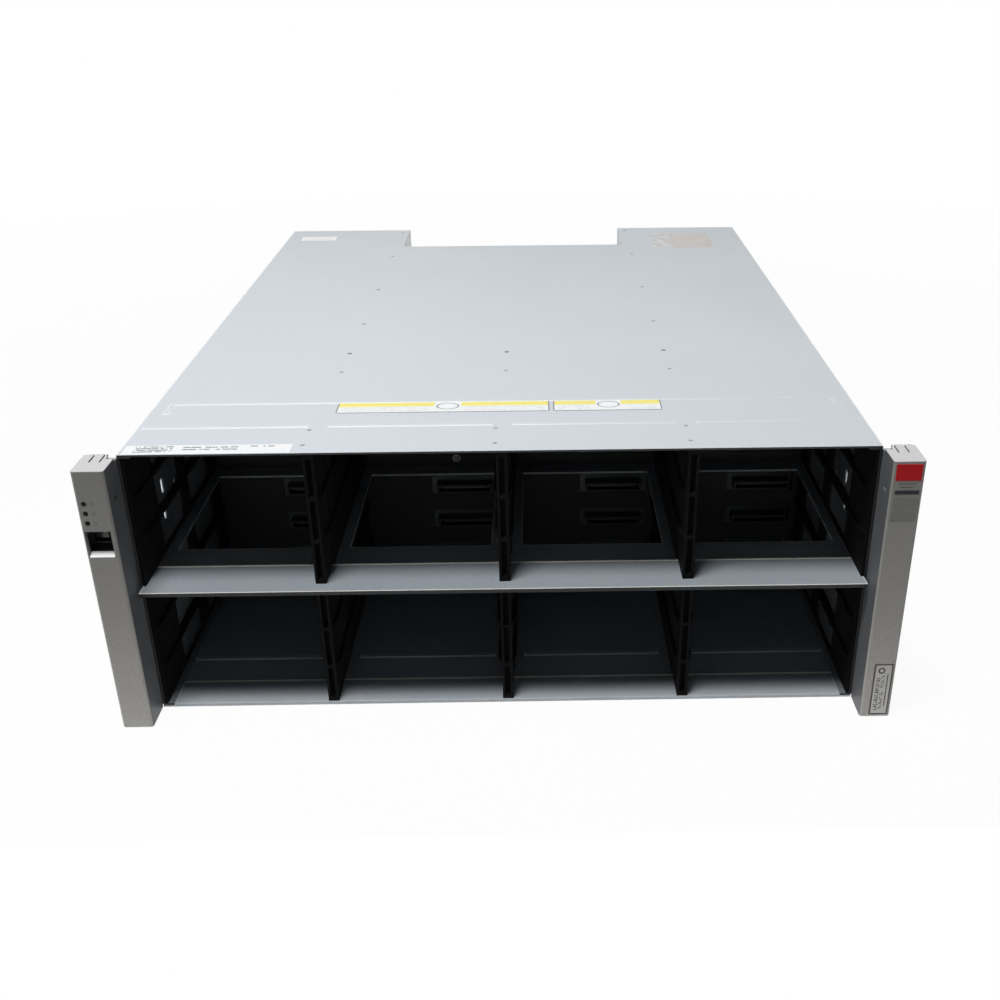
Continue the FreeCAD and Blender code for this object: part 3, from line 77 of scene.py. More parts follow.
class Shader:
    """One material's node tree, with short calls for the nodes that these finishes share."""

    def __init__(self, name, material=None):
        self.material = material or bpy.data.materials.new(name)
        self.material.use_nodes = True
        self.tree = self.material.node_tree
        self.bsdf = self.tree.nodes["Principled BSDF"]
        self.place = self.add("ShaderNodeTexCoord").outputs["Object"]

    def add(self, kind, **settings):
        node = self.tree.nodes.new(kind)
        for setting, value in settings.items():
            setattr(node, setting, value)
        return node

    def link(self, source, socket):
        if isinstance(source, (int, float, tuple)):
            socket.default_value = source
        else:
            self.tree.links.new(source, socket)

    def math(self, operation, first, second=0.0):
        node = self.add("ShaderNodeMath", operation=operation)
        self.link(first, node.inputs[0])
        self.link(second, node.inputs[1])
        return node.outputs[0]

    def noise(self, scale, detail=2.0, roughness=0.5, place=None):
        node = self.add("ShaderNodeTexNoise")
        self.link(place or self.place, node.inputs["Vector"])
        node.inputs["Scale"].default_value = scale
        node.inputs["Detail"].default_value = detail
        node.inputs["Roughness"].default_value = roughness
        return node.outputs["Fac"]

    def spread(self, source, low, high, to_low=0.0, to_high=1.0):
        """A number's range mapped to another range, and kept within it."""
        node = self.add("ShaderNodeMapRange")
        self.link(source, node.inputs["Value"])
        sockets = ("From Min", "From Max", "To Min", "To Max")
        for socket, number in zip(sockets, (low, high, to_low, to_high)):
            node.inputs[socket].default_value = number
        return node.outputs["Result"]

    def blend(self, share, first, second):
        node = self.add("ShaderNodeMix", data_type="RGBA")
        self.link(share, node.inputs["Factor"])
        self.link(opaque(first), node.inputs["A"])
        self.link(opaque(second), node.inputs["B"])
        return node.outputs["Result"]

    def axis(self, letter):
        node = self.add("ShaderNodeSeparateXYZ")
        self.link(self.place, node.inputs[0])
        return node.outputs[letter.upper()]

    def stretched(self, *scale):
        node = self.add("ShaderNodeMapping")
        self.link(self.place, node.inputs["Vector"])
        node.inputs["Scale"].default_value = scale
        return node.outputs["Vector"]

    def above(self, letter, limit):
        """One where a coordinate is over a limit, nought elsewhere."""
        return self.math("GREATER_THAN", self.axis(letter), limit)

    def below(self, letter, limit):
        return self.math("LESS_THAN", self.axis(letter), limit)

    def near_middle(self, limit):
        """One where a point lies less than a limit to the left or right of the middle."""
        return self.math("LESS_THAN", self.math("ABSOLUTE", self.axis("x")), limit)

    def between(self, letter, low, high):
        return self.math("MULTIPLY", self.above(letter, low), self.below(letter, high))

    def patch(self, letters, across, along):
        """One inside a rectangle of the given limits on two axes."""
        inside = self.between(letters[0], *across)
        return self.math("MULTIPLY", inside, self.between(letters[1], *along))

    def outside(self, letters, across, along):
        return self.math("SUBTRACT", 1.0, self.patch(letters, across, along))

    def ring(self, letters, middle, reach, wide):
        """One on a thin oval line round a middle."""
        squares = []
        for letter, centre, radius in zip(letters, middle, reach):
            share = self.math("DIVIDE", self.math("SUBTRACT", self.axis(letter), centre), radius)
            squares.append(self.math("POWER", self.math("ABSOLUTE", share), 2.0))
        away = self.math("SUBTRACT", self.math("SQRT", self.math("ADD", *squares)), 1.0)
        return self.math("LESS_THAN", self.math("ABSOLUTE", away), wide)

    def edge_band(self, reach):
        """One along edges, fading within a reach: there the bevelled normal leaves the true one."""
        bevel = self.add("ShaderNodeBevel", samples=6)
        bevel.inputs["Radius"].default_value = reach
        align = self.add("ShaderNodeVectorMath", operation="DOT_PRODUCT")
        self.link(bevel.outputs["Normal"], align.inputs[0])
        self.link(self.add("ShaderNodeNewGeometry").outputs["Normal"], align.inputs[1])
        return self.spread(self.math("SUBTRACT", 1.0, align.outputs["Value"]), 0.004, 0.05)

    def relief(self, height, strength, depth, edge=0.0):
        """Bump, over edges that the light catches as if they were rounded."""
        bump = self.add("ShaderNodeBump")
        bump.inputs["Strength"].default_value = strength
        bump.inputs["Distance"].default_value = depth
        self.link(height, bump.inputs["Height"])
        if edge:
            bevel = self.add("ShaderNodeBevel", samples=4)
            bevel.inputs["Radius"].default_value = edge
            self.link(bevel.outputs["Normal"], bump.inputs["Normal"])
        self.link(bump.outputs["Normal"], self.bsdf.inputs["Normal"])

    def gloss(self, metallic=0.0, specular=0.5, coat=0.0):
        self.bsdf.inputs["Metallic"].default_value = metallic
        self.bsdf.inputs["Specular IOR Level"].default_value = specular
        self.bsdf.inputs["Coat Weight"].default_value = coat

    def colour(self, source):
        self.link(source, self.bsdf.inputs["Base Color"])

    def overlay(self, mask, colour):
        """Another colour over a finished one, where a mask is one."""
        under = self.bsdf.inputs["Base Color"].links[0].from_socket
        self.colour(self.blend(mask, under, colour))

    def rough(self, source):
        self.link(source, self.bsdf.inputs["Roughness"])


def opaque(colour):
    return (*colour, 1.0) if isinstance(colour, tuple) and len(colour) == 3 else colour


def srgb(red, green, blue):
    """A display colour of 0 to 255 as the linear colour that a shader takes."""
    def linear(level):
        level /= 255.0
        return level / 12.92 if level <= 0.04045 else ((level + 0.055) / 1.055) ** 2.4
    return tuple(linear(level) for level in (red, green, blue))


def grained(name, light, dark, grain, roughness, swing=0.08, metallic=0.0, specular=0.5,
            bump=0.15, edge=0.0, coat=0.0, edge_highlight=None, highlight_reach=0.8):
    """A finish with a fine grain between two display colours, broad clouds and uneven gloss.

    An edge highlight colour, if given, is painted along edges within a reach in mm: a painted
    highlight where light catches them."""
    cloud = 0.3
    shader = Shader(name)
    fine = shader.spread(shader.noise(grain, 2.0, 0.6), 0.32, 0.68)
    broad = shader.noise(9.0, 3.0)
    share = shader.math("ADD", shader.math("MULTIPLY", fine, 1.0 - cloud),
                        shader.math("MULTIPLY", broad, cloud))
    tone = shader.blend(share, srgb(*dark), srgb(*light))
    # Painted highlight along edges.
    if edge_highlight:
        tone = shader.blend(shader.edge_band(highlight_reach * MM), tone, srgb(*edge_highlight))
    shader.colour(tone)
    shader.rough(shader.spread(broad, 0.3, 0.7, roughness - swing, roughness + swing))
    shader.gloss(metallic, specular, coat)
    shader.relief(fine, bump, 0.1 * MM, edge)
    return shader.material


# ---------------------------------------------------------------- finishes

# Painted shade on the cut front faces of the cover and the shelf's lip.
FRONT_EDGE_SHADE = srgb(46, 48, 50)
# Near-black painted shade inside the left cap's pocket.
POCKET_SHADE = srgb(28, 28, 33)

# Plain grained finishes: light and dark tone, grain, roughness, and what else sets them apart.
GRAINED = {
    "frame_steel": ((34, 35, 37), (26, 27, 29), 900.0, 0.6, {"bump": 0.2, "specular": 0.25}),
    "connector_black": ((27, 27, 28), (19, 19, 21), 1600.0, 0.5, {"bump": 0.2, "specular": 0.3}),
    "fan_plastic": ((38, 38, 40), (27, 27, 29), 1300.0, 0.48, {"edge": 0.3 * MM}),
    "inlet_plastic": ((34, 34, 35), (24, 24, 25), 1500.0, 0.45, {"edge": 0.3 * MM}),
    "rocker_plastic": ((28, 28, 29), (21, 21, 22), 1800.0, 0.25,
                       {"swing": 0.05, "bump": 0.05, "edge": 0.4 * MM, "coat": 0.2}),
    "lever_plastic": ((74, 76, 80), (62, 64, 68), 1200.0, 0.5, {"edge": 0.4 * MM}),
    "lamp_plastic": ((13, 14, 15), (8, 9, 10), 900.0, 0.45,
                     {"swing": 0.05, "bump": 0.03, "specular": 0.15}),
    "display_window": ((20, 20, 24), (13, 13, 16), 700.0, 0.15,
                       {"swing": 0.04, "bump": 0.02, "coat": 0.4}),
    "button_plastic": ((168, 168, 168), (150, 150, 150), 1500.0, 0.45, {"bump": 0.1}),
    "tag_plastic": ((150, 150, 152), (134, 134, 137), 1200.0, 0.3,
                    {"swing": 0.06, "bump": 0.06, "edge": 0.2 * MM}),
    "rivet_steel": ((112, 115, 120), (84, 87, 92), 1600.0, 0.35, {"metallic": 0.5, "bump": 0.1}),
    "rivet_pale": ((160, 166, 171), (140, 146, 151), 1600.0, 0.4, {"metallic": 0.2, "bump": 0.1}),
    "status_lamp": ((150, 176, 150), (126, 154, 128), 1200.0, 0.2,
                    {"swing": 0.05, "bump": 0.03, "coat": 0.3}),
    "badge_red": ((222, 36, 40), (206, 28, 32), 900.0, 0.45, {"bump": 0.05, "specular": 0.2}),
    "badge_dark": ((50, 50, 60), (38, 38, 48), 900.0, 0.45, {"bump": 0.05, "specular": 0.2}),
    "badge_ink": ((96, 98, 96), (84, 86, 84), 1500.0, 0.45, {"bump": 0.05}),
    "lamp_mark_ink": ((134, 133, 131), (120, 119, 118), 1500.0, 0.45, {"bump": 0.05}),
    "unlit_segment": ((56, 48, 50), (46, 40, 42), 900.0, 0.4, {"bump": 0.05}),
}


def make_cover_paint():
    """Light grey paint with a painted highlight along its edges, painted shade towards the right
    and the rear, and painted shade on its cut front edge.
    """
    material = grained("cover_paint", (212, 218, 223), (196, 203, 209), 1100.0, 0.42,
                       edge=0.5 * MM, specular=0.4, bump=0.12, edge_highlight=(240, 244, 246),
                       highlight_reach=1.3)
    shader = Shader("cover_paint", material)
    # Painted shade towards the right and the rear, where less light falls.
    shade_to_right = shader.spread(shader.axis("x"), -0.1, 0.2, 0.0, 0.6)
    shade_to_rear = shader.spread(shader.axis("y"), 0.2, 0.55, 0.0, 0.4)
    shader.overlay(shader.math("ADD", shade_to_right, shade_to_rear), srgb(190, 196, 201))
    # Painted shade on the cut front edge.
    shader.overlay(shader.below("y", cover_front + 0.15 * MM), FRONT_EDGE_SHADE)
    return material


def make_wall_paint():
    """Grey paint with a painted highlight along its edges, painted shade on the inner side, and
    near-black painted shade on the upright front edges.
    """
    material = grained("wall_paint", (190, 197, 202), (172, 180, 186), 1100.0, 0.45,
                       edge=0.5 * MM, specular=0.4, bump=0.12, edge_highlight=(206, 211, 215))
    shader = Shader("wall_paint", material)
    wall_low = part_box("left_side_wall")[0]
    # Painted shade on the inner side.
    shader.overlay(shader.near_middle(abs(wall_low.x) - 0.4 * MM), srgb(128, 133, 138))
    # Near-black painted shade on the upright front edges.
    shader.overlay(shader.below("y", wall_low.y + 0.4 * MM), srgb(30, 31, 33))
    return material


def make_deck_paint():
    """Darker grey paint, with a painted highlight along its edges and along the fold behind the
    front strips.

    The pan has painted light near its front, and the shelf's lip has a painted highlight on its rim
    and painted shade on its cut front face."""
    material = grained("deck_paint", (154, 161, 167), (138, 146, 153), 1100.0, 0.45,
                       edge=0.6 * MM, specular=0.3, bump=0.12, edge_highlight=(232, 235, 236),
                       highlight_reach=1.2)
    shader = Shader("deck_paint", material)
    # Painted highlight along the fold behind the front strips.
    fold_highlight = shader.between("y", strip_end - 1.8 * MM, strip_end - 0.2 * MM)
    shader.overlay(fold_highlight, srgb(252, 248, 234))
    # Painted light on the pan near its front, where light reaches under the shelf.
    front_light = shader.spread(shader.axis("y"), strip_end - 20 * MM, strip_end - 6 * MM, 0.7, 0.0)
    on_pan = shader.below("z", shelf_low.z / 2)
    shader.overlay(shader.math("MULTIPLY", front_light, on_pan), srgb(200, 207, 213))
    # Painted highlight on the rim of the shelf's lip, then painted shade on its cut front face.
    shader.overlay(shader.below("y", shelf_low.y + 0.9 * MM), srgb(238, 236, 226))
    shader.overlay(shader.below("y", shelf_low.y + 0.15 * MM), FRONT_EDGE_SHADE)
    return material


def make_guide_plastic():
    """Black moulded plastic, with painted shade on its front faces and paler further in."""
    material = grained("guide_plastic", (40, 40, 41), (30, 30, 31), 1400.0, 0.65,
                       edge=0.3 * MM, bump=0.25, specular=0.06)
    shader = Shader("guide_plastic", material)
    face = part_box("upper_middle_divider")[0].y
    # Painted shade on the front faces.
    front_shade = shader.spread(shader.axis("y"), face + 6 * MM, face + 40 * MM, 1.0, 0.0)
    shader.overlay(front_shade, srgb(15, 15, 16))
    return material


def make_board_green():
    """Dark green lacquer over upright conductor tracks."""
    shader = Shader("board_green")
    traces = shader.add("ShaderNodeTexWave", wave_type="BANDS", bands_direction="X")
    shader.link(shader.stretched(1.0, 1.0, 0.15), traces.inputs["Vector"])
    traces.inputs["Scale"].default_value = 130.0
    traces.inputs["Distortion"].default_value = 6.0
    share = shader.spread(traces.outputs["Fac"], 0.55, 0.7)
    shader.colour(shader.blend(share, srgb(9, 30, 21), srgb(14, 44, 30)))
    shader.rough(shader.spread(shader.noise(30.0), 0.3, 0.7, 0.3, 0.42))
    shader.relief(share, 0.2, 0.05 * MM)
    return shader.material


def make_galvanised():
    """Zinc whose crystals show as flat flakes, under a broad haze."""
    flake_share, haze_share = 0.45, 0.55
    shader = Shader("galvanised_steel")
    spangle = shader.add("ShaderNodeTexVoronoi", feature="F1")
    shader.link(shader.place, spangle.inputs["Vector"])
    spangle.inputs["Scale"].default_value = 110.0
    flake = shader.spread(spangle.outputs["Color"], 0.0, 1.0)
    haze = shader.noise(14.0, 4.0)
    share = shader.math("ADD", shader.math("MULTIPLY", flake, flake_share),
                        shader.math("MULTIPLY", haze, haze_share))
    shader.colour(shader.blend(share, srgb(150, 155, 158), srgb(196, 199, 201)))
    shader.rough(shader.spread(share, 0.2, 0.8, 0.3, 0.48))
    shader.gloss(metallic=0.85)
    shader.relief(share, 0.1, 0.05 * MM, 0.4 * MM)
    return shader.material


def make_port_metal():
    """Metal brushed from side to side."""
    shader = Shader("port_metal")
    brushed = shader.noise(60.0, 3.0, 0.6, shader.stretched(1.0, 30.0, 1.0))
    shader.colour(shader.blend(brushed, srgb(172, 174, 176), srgb(206, 207, 208)))
    shader.rough(shader.spread(brushed, 0.3, 0.7, 0.22, 0.36))
    shader.gloss(metallic=0.95)
    shader.relief(brushed, 0.1, 0.03 * MM, 0.3 * MM)
    return shader.material


def shade_pocket(shader):
    """Near-black painted shade inside the left cap's pocket, which starts further back on its left
    wall.
    """
    past = 0.1 * MM
    along = (pocket_foot - past, pocket_foot + POCKET_HEIGHT + past)
    for left, right, start in ((0.3 * MM, POCKET_WIDTH + past, 0.2 * MM),
                               (-past, 0.4 * MM, 3.9 * MM)):
        part = shader.patch("xz", (pocket_left + left, pocket_left + right), along)
        behind = shader.above("y", cap_low.y + start)
        shader.overlay(shader.math("MULTIPLY", part, behind), POCKET_SHADE)


def make_cap_silver(name="cap_silver", pocket=False):
    """Silver paint with fine metal flakes, with a painted highlight on top and painted shade high
    on the front.

    Both caps have painted shade on their inner sides, and the left one's pocket has near-black
    painted shade inside."""
    shader = Shader(name)
    flake = shader.spread(shader.noise(1500.0, 1.0), 0.3, 0.7)
    haze = shader.noise(10.0, 3.0)
    low = shader.blend(flake, srgb(176, 174, 170), srgb(192, 190, 186))
    high = shader.blend(flake, srgb(168, 166, 162), srgb(186, 184, 180))
    shader.colour(shader.blend(haze, low, high))
    # Painted shade, darker higher up the front, where less light falls.
    shader.overlay(shader.spread(shader.axis("z"), 0.05, 0.17, 0.0, 0.7), srgb(150, 149, 145))
    # Painted highlight: the top face paler, as lit from above.
    shader.overlay(shader.above("z", cap_high.z - 0.3 * MM), srgb(203, 202, 203))
    # Painted shade on the inner sides.
    shader.overlay(shader.near_middle(abs(cap_high.x) + 0.2 * MM), srgb(108, 110, 113))
    if pocket:
        shade_pocket(shader)
    shader.rough(shader.spread(flake, 0.0, 1.0, 0.38, 0.5))
    shader.gloss(specular=0.25)
    shader.relief(flake, 0.08, 0.04 * MM, 0.6 * MM)
    return shader.material


FINISHES = {
    "cover_paint": make_cover_paint(),
    "wall_paint": make_wall_paint(),
    "deck_paint": make_deck_paint(),
    "guide_plastic": make_guide_plastic(),
    "board_green": make_board_green(),
    "galvanised_steel": make_galvanised(),
    "port_metal": make_port_metal(),
    "cap_silver": make_cap_silver(),
}
for finish_name, (*tones, details) in GRAINED.items():
    FINISHES[finish_name] = grained(finish_name, *tones, **details)


def dress_nodes():
    """Every CAD node takes the finish of its slot in the record; walls and ears take wall paint."""
    slots = {part["node"]: part["material_slot"] for part in frame["record"]["subparts"]}
    for name, thing in nodes.items():
        finish = "wall_paint" if name.endswith(("side_wall", "rack_ear")) else slots[name]
        thing.data.materials.clear()
        thing.data.materials.append(FINISHES[finish])
    nodes["left_end_cap"].data.materials[0] = make_cap_silver("left_cap_silver", pocket=True)


dress_nodes()


# ---------------------------------------------------------------- pieces

def add_piece(name, mesh_maker, body, material):
    """A new piece from a function that fills a bmesh; it rides on a body."""
    mesh = bpy.data.meshes.new(name)
    shape = bmesh.new()
    mesh_maker(shape)
    bmesh.ops.recalc_face_normals(shape, faces=shape.faces)
    shape.to_mesh(mesh)
    shape.free()
    mesh.materials.append(material)
    piece = bpy.data.objects.new(name, mesh)
    bpy.context.scene.collection.objects.link(piece)
    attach(piece, body)


# A face's two directions and its outward normal.
TOP = (Vector((1, 0, 0)), Vector((0, 1, 0)), Vector((0, 0, 1)))
FRONT = (Vector((1, 0, 0)), Vector((0, 0, 1)), Vector((0, -1, 0)))
REAR = (Vector((1, 0, 0)), Vector((0, 0, 1)), Vector((0, 1, 0)))


def ring_points(width, height, radius):
    """The outline of a rounded rectangle, about its middle."""
    steps = 5
    points = []
    for turn, (across, along) in enumerate(((1, 1), (-1, 1), (-1, -1), (1, -1))):
        centre = Vector((across * (width / 2 - radius), along * (height / 2 - radius)))
        for step in range(steps + 1):
            angle = math.pi / 2 * (turn + step / steps)
            points.append(centre + radius * Vector((math.cos(angle), math.sin(angle))))
    return points


def circle(shape, middle, face, radius, lift, count):
    """New vertices round a circle that lies this far above a face."""
    across, along, out = face
    turns = [2 * math.pi * n / count for n in range(count)]
    return [shape.verts.new(middle + out * lift
                            + radius * (across * math.cos(turn) + along * math.sin(turn)))
            for turn in turns]


def bridge(shape, low, high):
    """A band of faces between two loops of as many vertices."""
    count = len(low)
    for n in range(count):
        shape.faces.new((low[n], low[(n + 1) % count], high[(n + 1) % count], high[n]))


def sticker(shape, middle, face, width, height, radius, thick):
    """A thin plate on a face, with rounded corners and a softened upper edge."""
    across, along, out = face
    soft = min(thick * 0.6, radius * 0.5)
    rings = []
    for inset, lift in ((0.0, 0.0), (0.0, thick - soft), (soft, thick)):
        points = ring_points(width - 2 * inset, height - 2 * inset,
                             max(radius - inset, radius * 0.2))
        rings.append([shape.verts.new(middle + across * p.x + along * p.y + out * lift)
                      for p in points])
    for low, high in zip(rings, rings[1:]):
        bridge(shape, low, high)
    shape.faces.new(rings[-1])
    shape.faces.new(list(reversed(rings[0])))


def dome(shape, middle, face, radius, height):
    """A low rivet head: a cap of a sphere that stands on a face."""
    segments, rings = 20, 4
    loops = []
    for ring in range(rings):
        angle = math.pi / 2 * ring / rings
        loops.append(circle(shape, middle, face, radius * math.cos(angle),
                            height * math.sin(angle), segments))
    for low, high in zip(loops, loops[1:]):
        bridge(shape, low, high)
    tip = shape.verts.new(middle + face[2] * height)
    for n in range(segments):
        shape.faces.new((loops[-1][n], loops[-1][(n + 1) % segments], tip))
    shape.faces.new(list(reversed(loops[0])))


def annulus(shape, middle, face, inner, outer, thick):
    """A thin flat ring on a face."""
    segments = 28
    loops = [circle(shape, middle, face, radius, lift, segments) for radius, lift in
             ((inner, 0.0), (inner, thick), (outer, thick), (outer, 0.0))]
    for low, high in zip(loops, loops[1:] + loops[:1]):
        bridge(shape, low, high)


def add_domes(name, body, face, places, radius, height, finish):
    """Low round heads on a face, as one piece; radius and height in mm."""
    def fill(shape):
        for place in places:
            dome(shape, place, face, radius * MM, height * MM)
    add_piece(name, fill, body, FINISHES[finish])


def add_plate(name, body, face, middle, width, height, material, radius=0.8, thick=0.12):
    """A thin plate as one piece; corner radius and thickness in mm."""
    def fill(shape):
        sticker(shape, middle, face, width, height, radius * MM, thick * MM)
    add_piece(name, fill, body, material)


def on_top(across, deep):
    """A point on the cover's upper face."""
    return Vector((across, deep, cover_top))


def make_cover_rivets():
    """Rivets over the midplane and the partitions, and faint dimples over the dividers."""
    partition_rows = (255, 355, 472, rear / MM - 12)
    dimple_rows, dimple_slips = (10, 34), (-4.5, -4, -1)
    columns = [column * bay_pitch for column in (-1, 0, 1)]
    on_midplane = [on_top(across, midplane_front - 4 * MM) for across in columns]
    add_domes("midplane_rivets", "chassis", TOP, on_midplane, 1.7, 0.3, "rivet_steel")
    on_partitions = [on_top(side * flange_middle, deep * MM)
                     for side in (-1, 1) for deep in partition_rows]
    add_domes("partition_rivets", "chassis", TOP, on_partitions, 1.8, 0.35, "rivet_pale")
    faint = [on_top(across, midplane_front - 45 * MM) for across in columns]
    faint += [on_top(across + slip * MM, deep * MM)
              for across, slip in zip(columns, dimple_slips) for deep in dimple_rows]
    add_domes("cover_dimples", "chassis", TOP, faint, 1.5, 0.3, "rivet_pale")


make_cover_rivets()


# ---------------------------------------------------------------- stickers

WHITE = srgb(240, 242, 243)
BAND_YELLOW = srgb(240, 227, 124)
FAINT_PRINT = srgb(205, 207, 208)
LINE_GREY = srgb(118, 122, 132)
PRINT_GREY = srgb(112, 114, 118)

# The cover's stickers in mm: limits from left to right, and behind the cover's front edge.
STICKERS = {
    "wide_sticker": ((-105.3, 29), (63.8, 85)),
    "short_sticker": ((31.3, 100), (63.8, 85)),
    "front_sticker": ((-220, -122.5), (0.8, 14)),
    "faded_sticker": ((134.5, 192), (499, 558)),
    "rear_sticker": ((-209, -175), (542, 558)),
}

# Print on the front and rear stickers: its limits and its rows' pitch in mm, and the share inked.
FRONT_PRINT = (((-214, -192), (3.6, 13.2), 2.5, 0.55), ((-186, -154), (6.4, 12.8), 3.3, 0.45),
               ((-147, -133), (10.6, 12.2), 3.3, 0.42))
REAR_PRINT = (((-205, -180), (543, 555), 4, 0.3),)


def print_rows(shader, letters, across, along, pitch, share, grain=420.0):
    """One on rows of broken rules inside a rectangle, like print too small to read."""
    steps = shader.math("DIVIDE", shader.math("SUBTRACT", shader.axis(letters[1]), along[0]), pitch)
    row = shader.math("LESS_THAN", shader.math("FRACT", steps), share)
    words = shader.math("GREATER_THAN", shader.noise(grain, 0.0), 0.45)
    inside = shader.patch(letters, across, along)
    return shader.math("MULTIPLY", shader.math("MULTIPLY", row, words), inside)


def paper(name, base, layers, roughness=0.5):
    """Slightly mottled label paper with inked layers: each is a maker of a mask, and its ink."""
    shader = Shader(name)
    mottle = shader.noise(500.0, 3.0)
    tone = shader.blend(mottle, tuple(level * 0.95 for level in base), base)
    for make_mask, ink in layers:
        tone = shader.blend(make_mask(shader), tone, ink)
    shader.colour(tone)
    shader.rough(shader.spread(shader.noise(40.0), 0.3, 0.7, roughness - 0.06, roughness + 0.06))
    shader.relief(mottle, 0.05, 0.02 * MM)
    return shader.material


def millimetres(*values):
    return tuple(number * MM for number in values)


def from_front(*values):
    """Distances in mm behind the cover's front edge, as places."""
    return tuple(cover_front + number * MM for number in values)


def sticker_limits(name):
    across, along = STICKERS[name]
    return millimetres(*across), from_front(*along)


def printed(groups, ink):
    """Layers of a paper: one for each group of rules on the cover."""
    return [(lambda s, g=group: print_rows(s, "xy", millimetres(*g[0]), from_front(*g[1]),
                                           g[2] * MM, g[3]), ink) for group in groups]


def top_sticker(name, material, radius=0.8):
    (left, right), (near, far) = sticker_limits(name)
    middle = on_top((left + right) / 2, (near + far) / 2)
    add_plate(name, "chassis", TOP, middle, right - left, far - near, material, radius)


def band_sticker(name, gap):
    """A bordered white sticker with a yellow band, broken in one place round an empty oval."""
    (left, right), (near, far) = sticker_limits(name)
    rim, margin, pitch, inked = 0.8 * MM, 3.0 * MM, 2.6 * MM, 0.3
    oval, line = (6.8 * MM, 5.2 * MM), 0.07
    middle = (sum(gap) / 2, (near + far) / 2)
    band, below_band = (middle[1], far - rim), (near + margin, middle[1])
    layers = [(lambda s, part=part: s.patch("xy", part, band), BAND_YELLOW)
              for part in ((left + rim, gap[0]), (gap[1], right - rim))]
    layers += [(lambda s, part=part: print_rows(s, "xy", part, below_band, pitch, inked),
                FAINT_PRINT)
               for part in ((left + margin, gap[0] - margin), (gap[1] + margin, right - margin))]
    layers += [(lambda s: s.ring("xy", middle, oval, line), LINE_GREY),
               (lambda s: s.outside("xy", (left + rim, right - rim), (near + rim, far - rim)),
                LINE_GREY)]
    top_sticker(name, paper(name + "_paper", WHITE, layers), radius=2.0)


def make_faded_sticker():
    """An old clear sticker: a brownish haze with a patchy left part."""
    patchy_end = 153 * MM
    shader = Shader("faded_sticker_paper")
    patchy = shader.spread(shader.noise(130.0, 4.0), 0.42, 0.6)
    share = shader.math("MAXIMUM", patchy, shader.above("x", patchy_end))
    brown = shader.blend(shader.noise(60.0, 3.0), srgb(190, 186, 182), srgb(202, 198, 194))
    shader.colour(shader.blend(share, srgb(204, 208, 211), brown))
    shader.rough(shader.spread(patchy, 0.0, 1.0, 0.4, 0.6))
    shader.relief(patchy, 0.05, 0.02 * MM)
    top_sticker("faded_sticker", shader.material)


def make_top_stickers():
    band_sticker("wide_sticker", millimetres(-44, -27))
    band_sticker("short_sticker", millimetres(58.5, 74.5))
    front = paper("front_sticker_paper", WHITE, printed(FRONT_PRINT, PRINT_GREY))
    top_sticker("front_sticker", front, radius=0.6)
    make_faded_sticker()
    rules = printed(REAR_PRINT, srgb(214, 216, 217))
    top_sticker("rear_sticker", paper("rear_sticker_paper", srgb(246, 247, 247), rules))


make_top_stickers()


# ---------------------------------------------------------------- end cap trim

def make_dot_panel():
    """Grey paint with a fine square grid of dark dots."""
    pitch, dot_share = 1.25 * MM, 0.3
    shader = Shader("dot_panel")
    squares = []
    for letter in "xz":
        share = shader.math("FRACT", shader.math("DIVIDE", shader.axis(letter), pitch))
        away = shader.math("ABSOLUTE", shader.math("SUBTRACT", share, 0.5))
        squares.append(shader.math("POWER", away, 2.0))
    distance = shader.math("SQRT", shader.math("ADD", *squares))
    dot = shader.math("LESS_THAN", distance, dot_share)
    shader.colour(shader.blend(dot, srgb(142, 141, 137), srgb(86, 86, 84)))
    shader.rough(shader.spread(shader.noise(800.0), 0.3, 0.7, 0.4, 0.5))
    shader.relief(dot, 0.3, 0.05 * MM)
    return shader.material


# Plates on the right cap's front, all in mm: limits from its outer side and from its top, corner
# radius, thickness; then the finish.
CAP_PLATES = {
    "badge_plate": ((1.7, 16.8), (1.7, 11.9), 0.5, 0.15, FINISHES["badge_red"]),
    "badge_rule": ((4.1, 14.5), (13.4, 14.2), 0.2, 0.05, FINISHES["badge_ink"]),
    "badge_short_rule": ((5.9, 13.7), (15.6, 16.3), 0.2, 0.05, FINISHES["badge_ink"]),
    "badge_bar": ((2.0, 16.1), (17.9, 20.3), 0.3, 0.15, FINISHES["badge_dark"]),
    "dot_field": ((1.8, 16.8), (21.9, 37.4), 0.5, 0.08, make_dot_panel()),
}


def make_right_cap_trim():
    low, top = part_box("right_end_cap")
    for name, (across, down, radius, thick, finish) in CAP_PLATES.items():
        width, height = (across[1] - across[0]) * MM, (down[1] - down[0]) * MM
        middle = Vector((top.x - sum(across) / 2 * MM, low.y, top.z - sum(down) / 2 * MM))
        add_plate(name, "right_cap", FRONT, middle, width, height, finish, radius, thick)


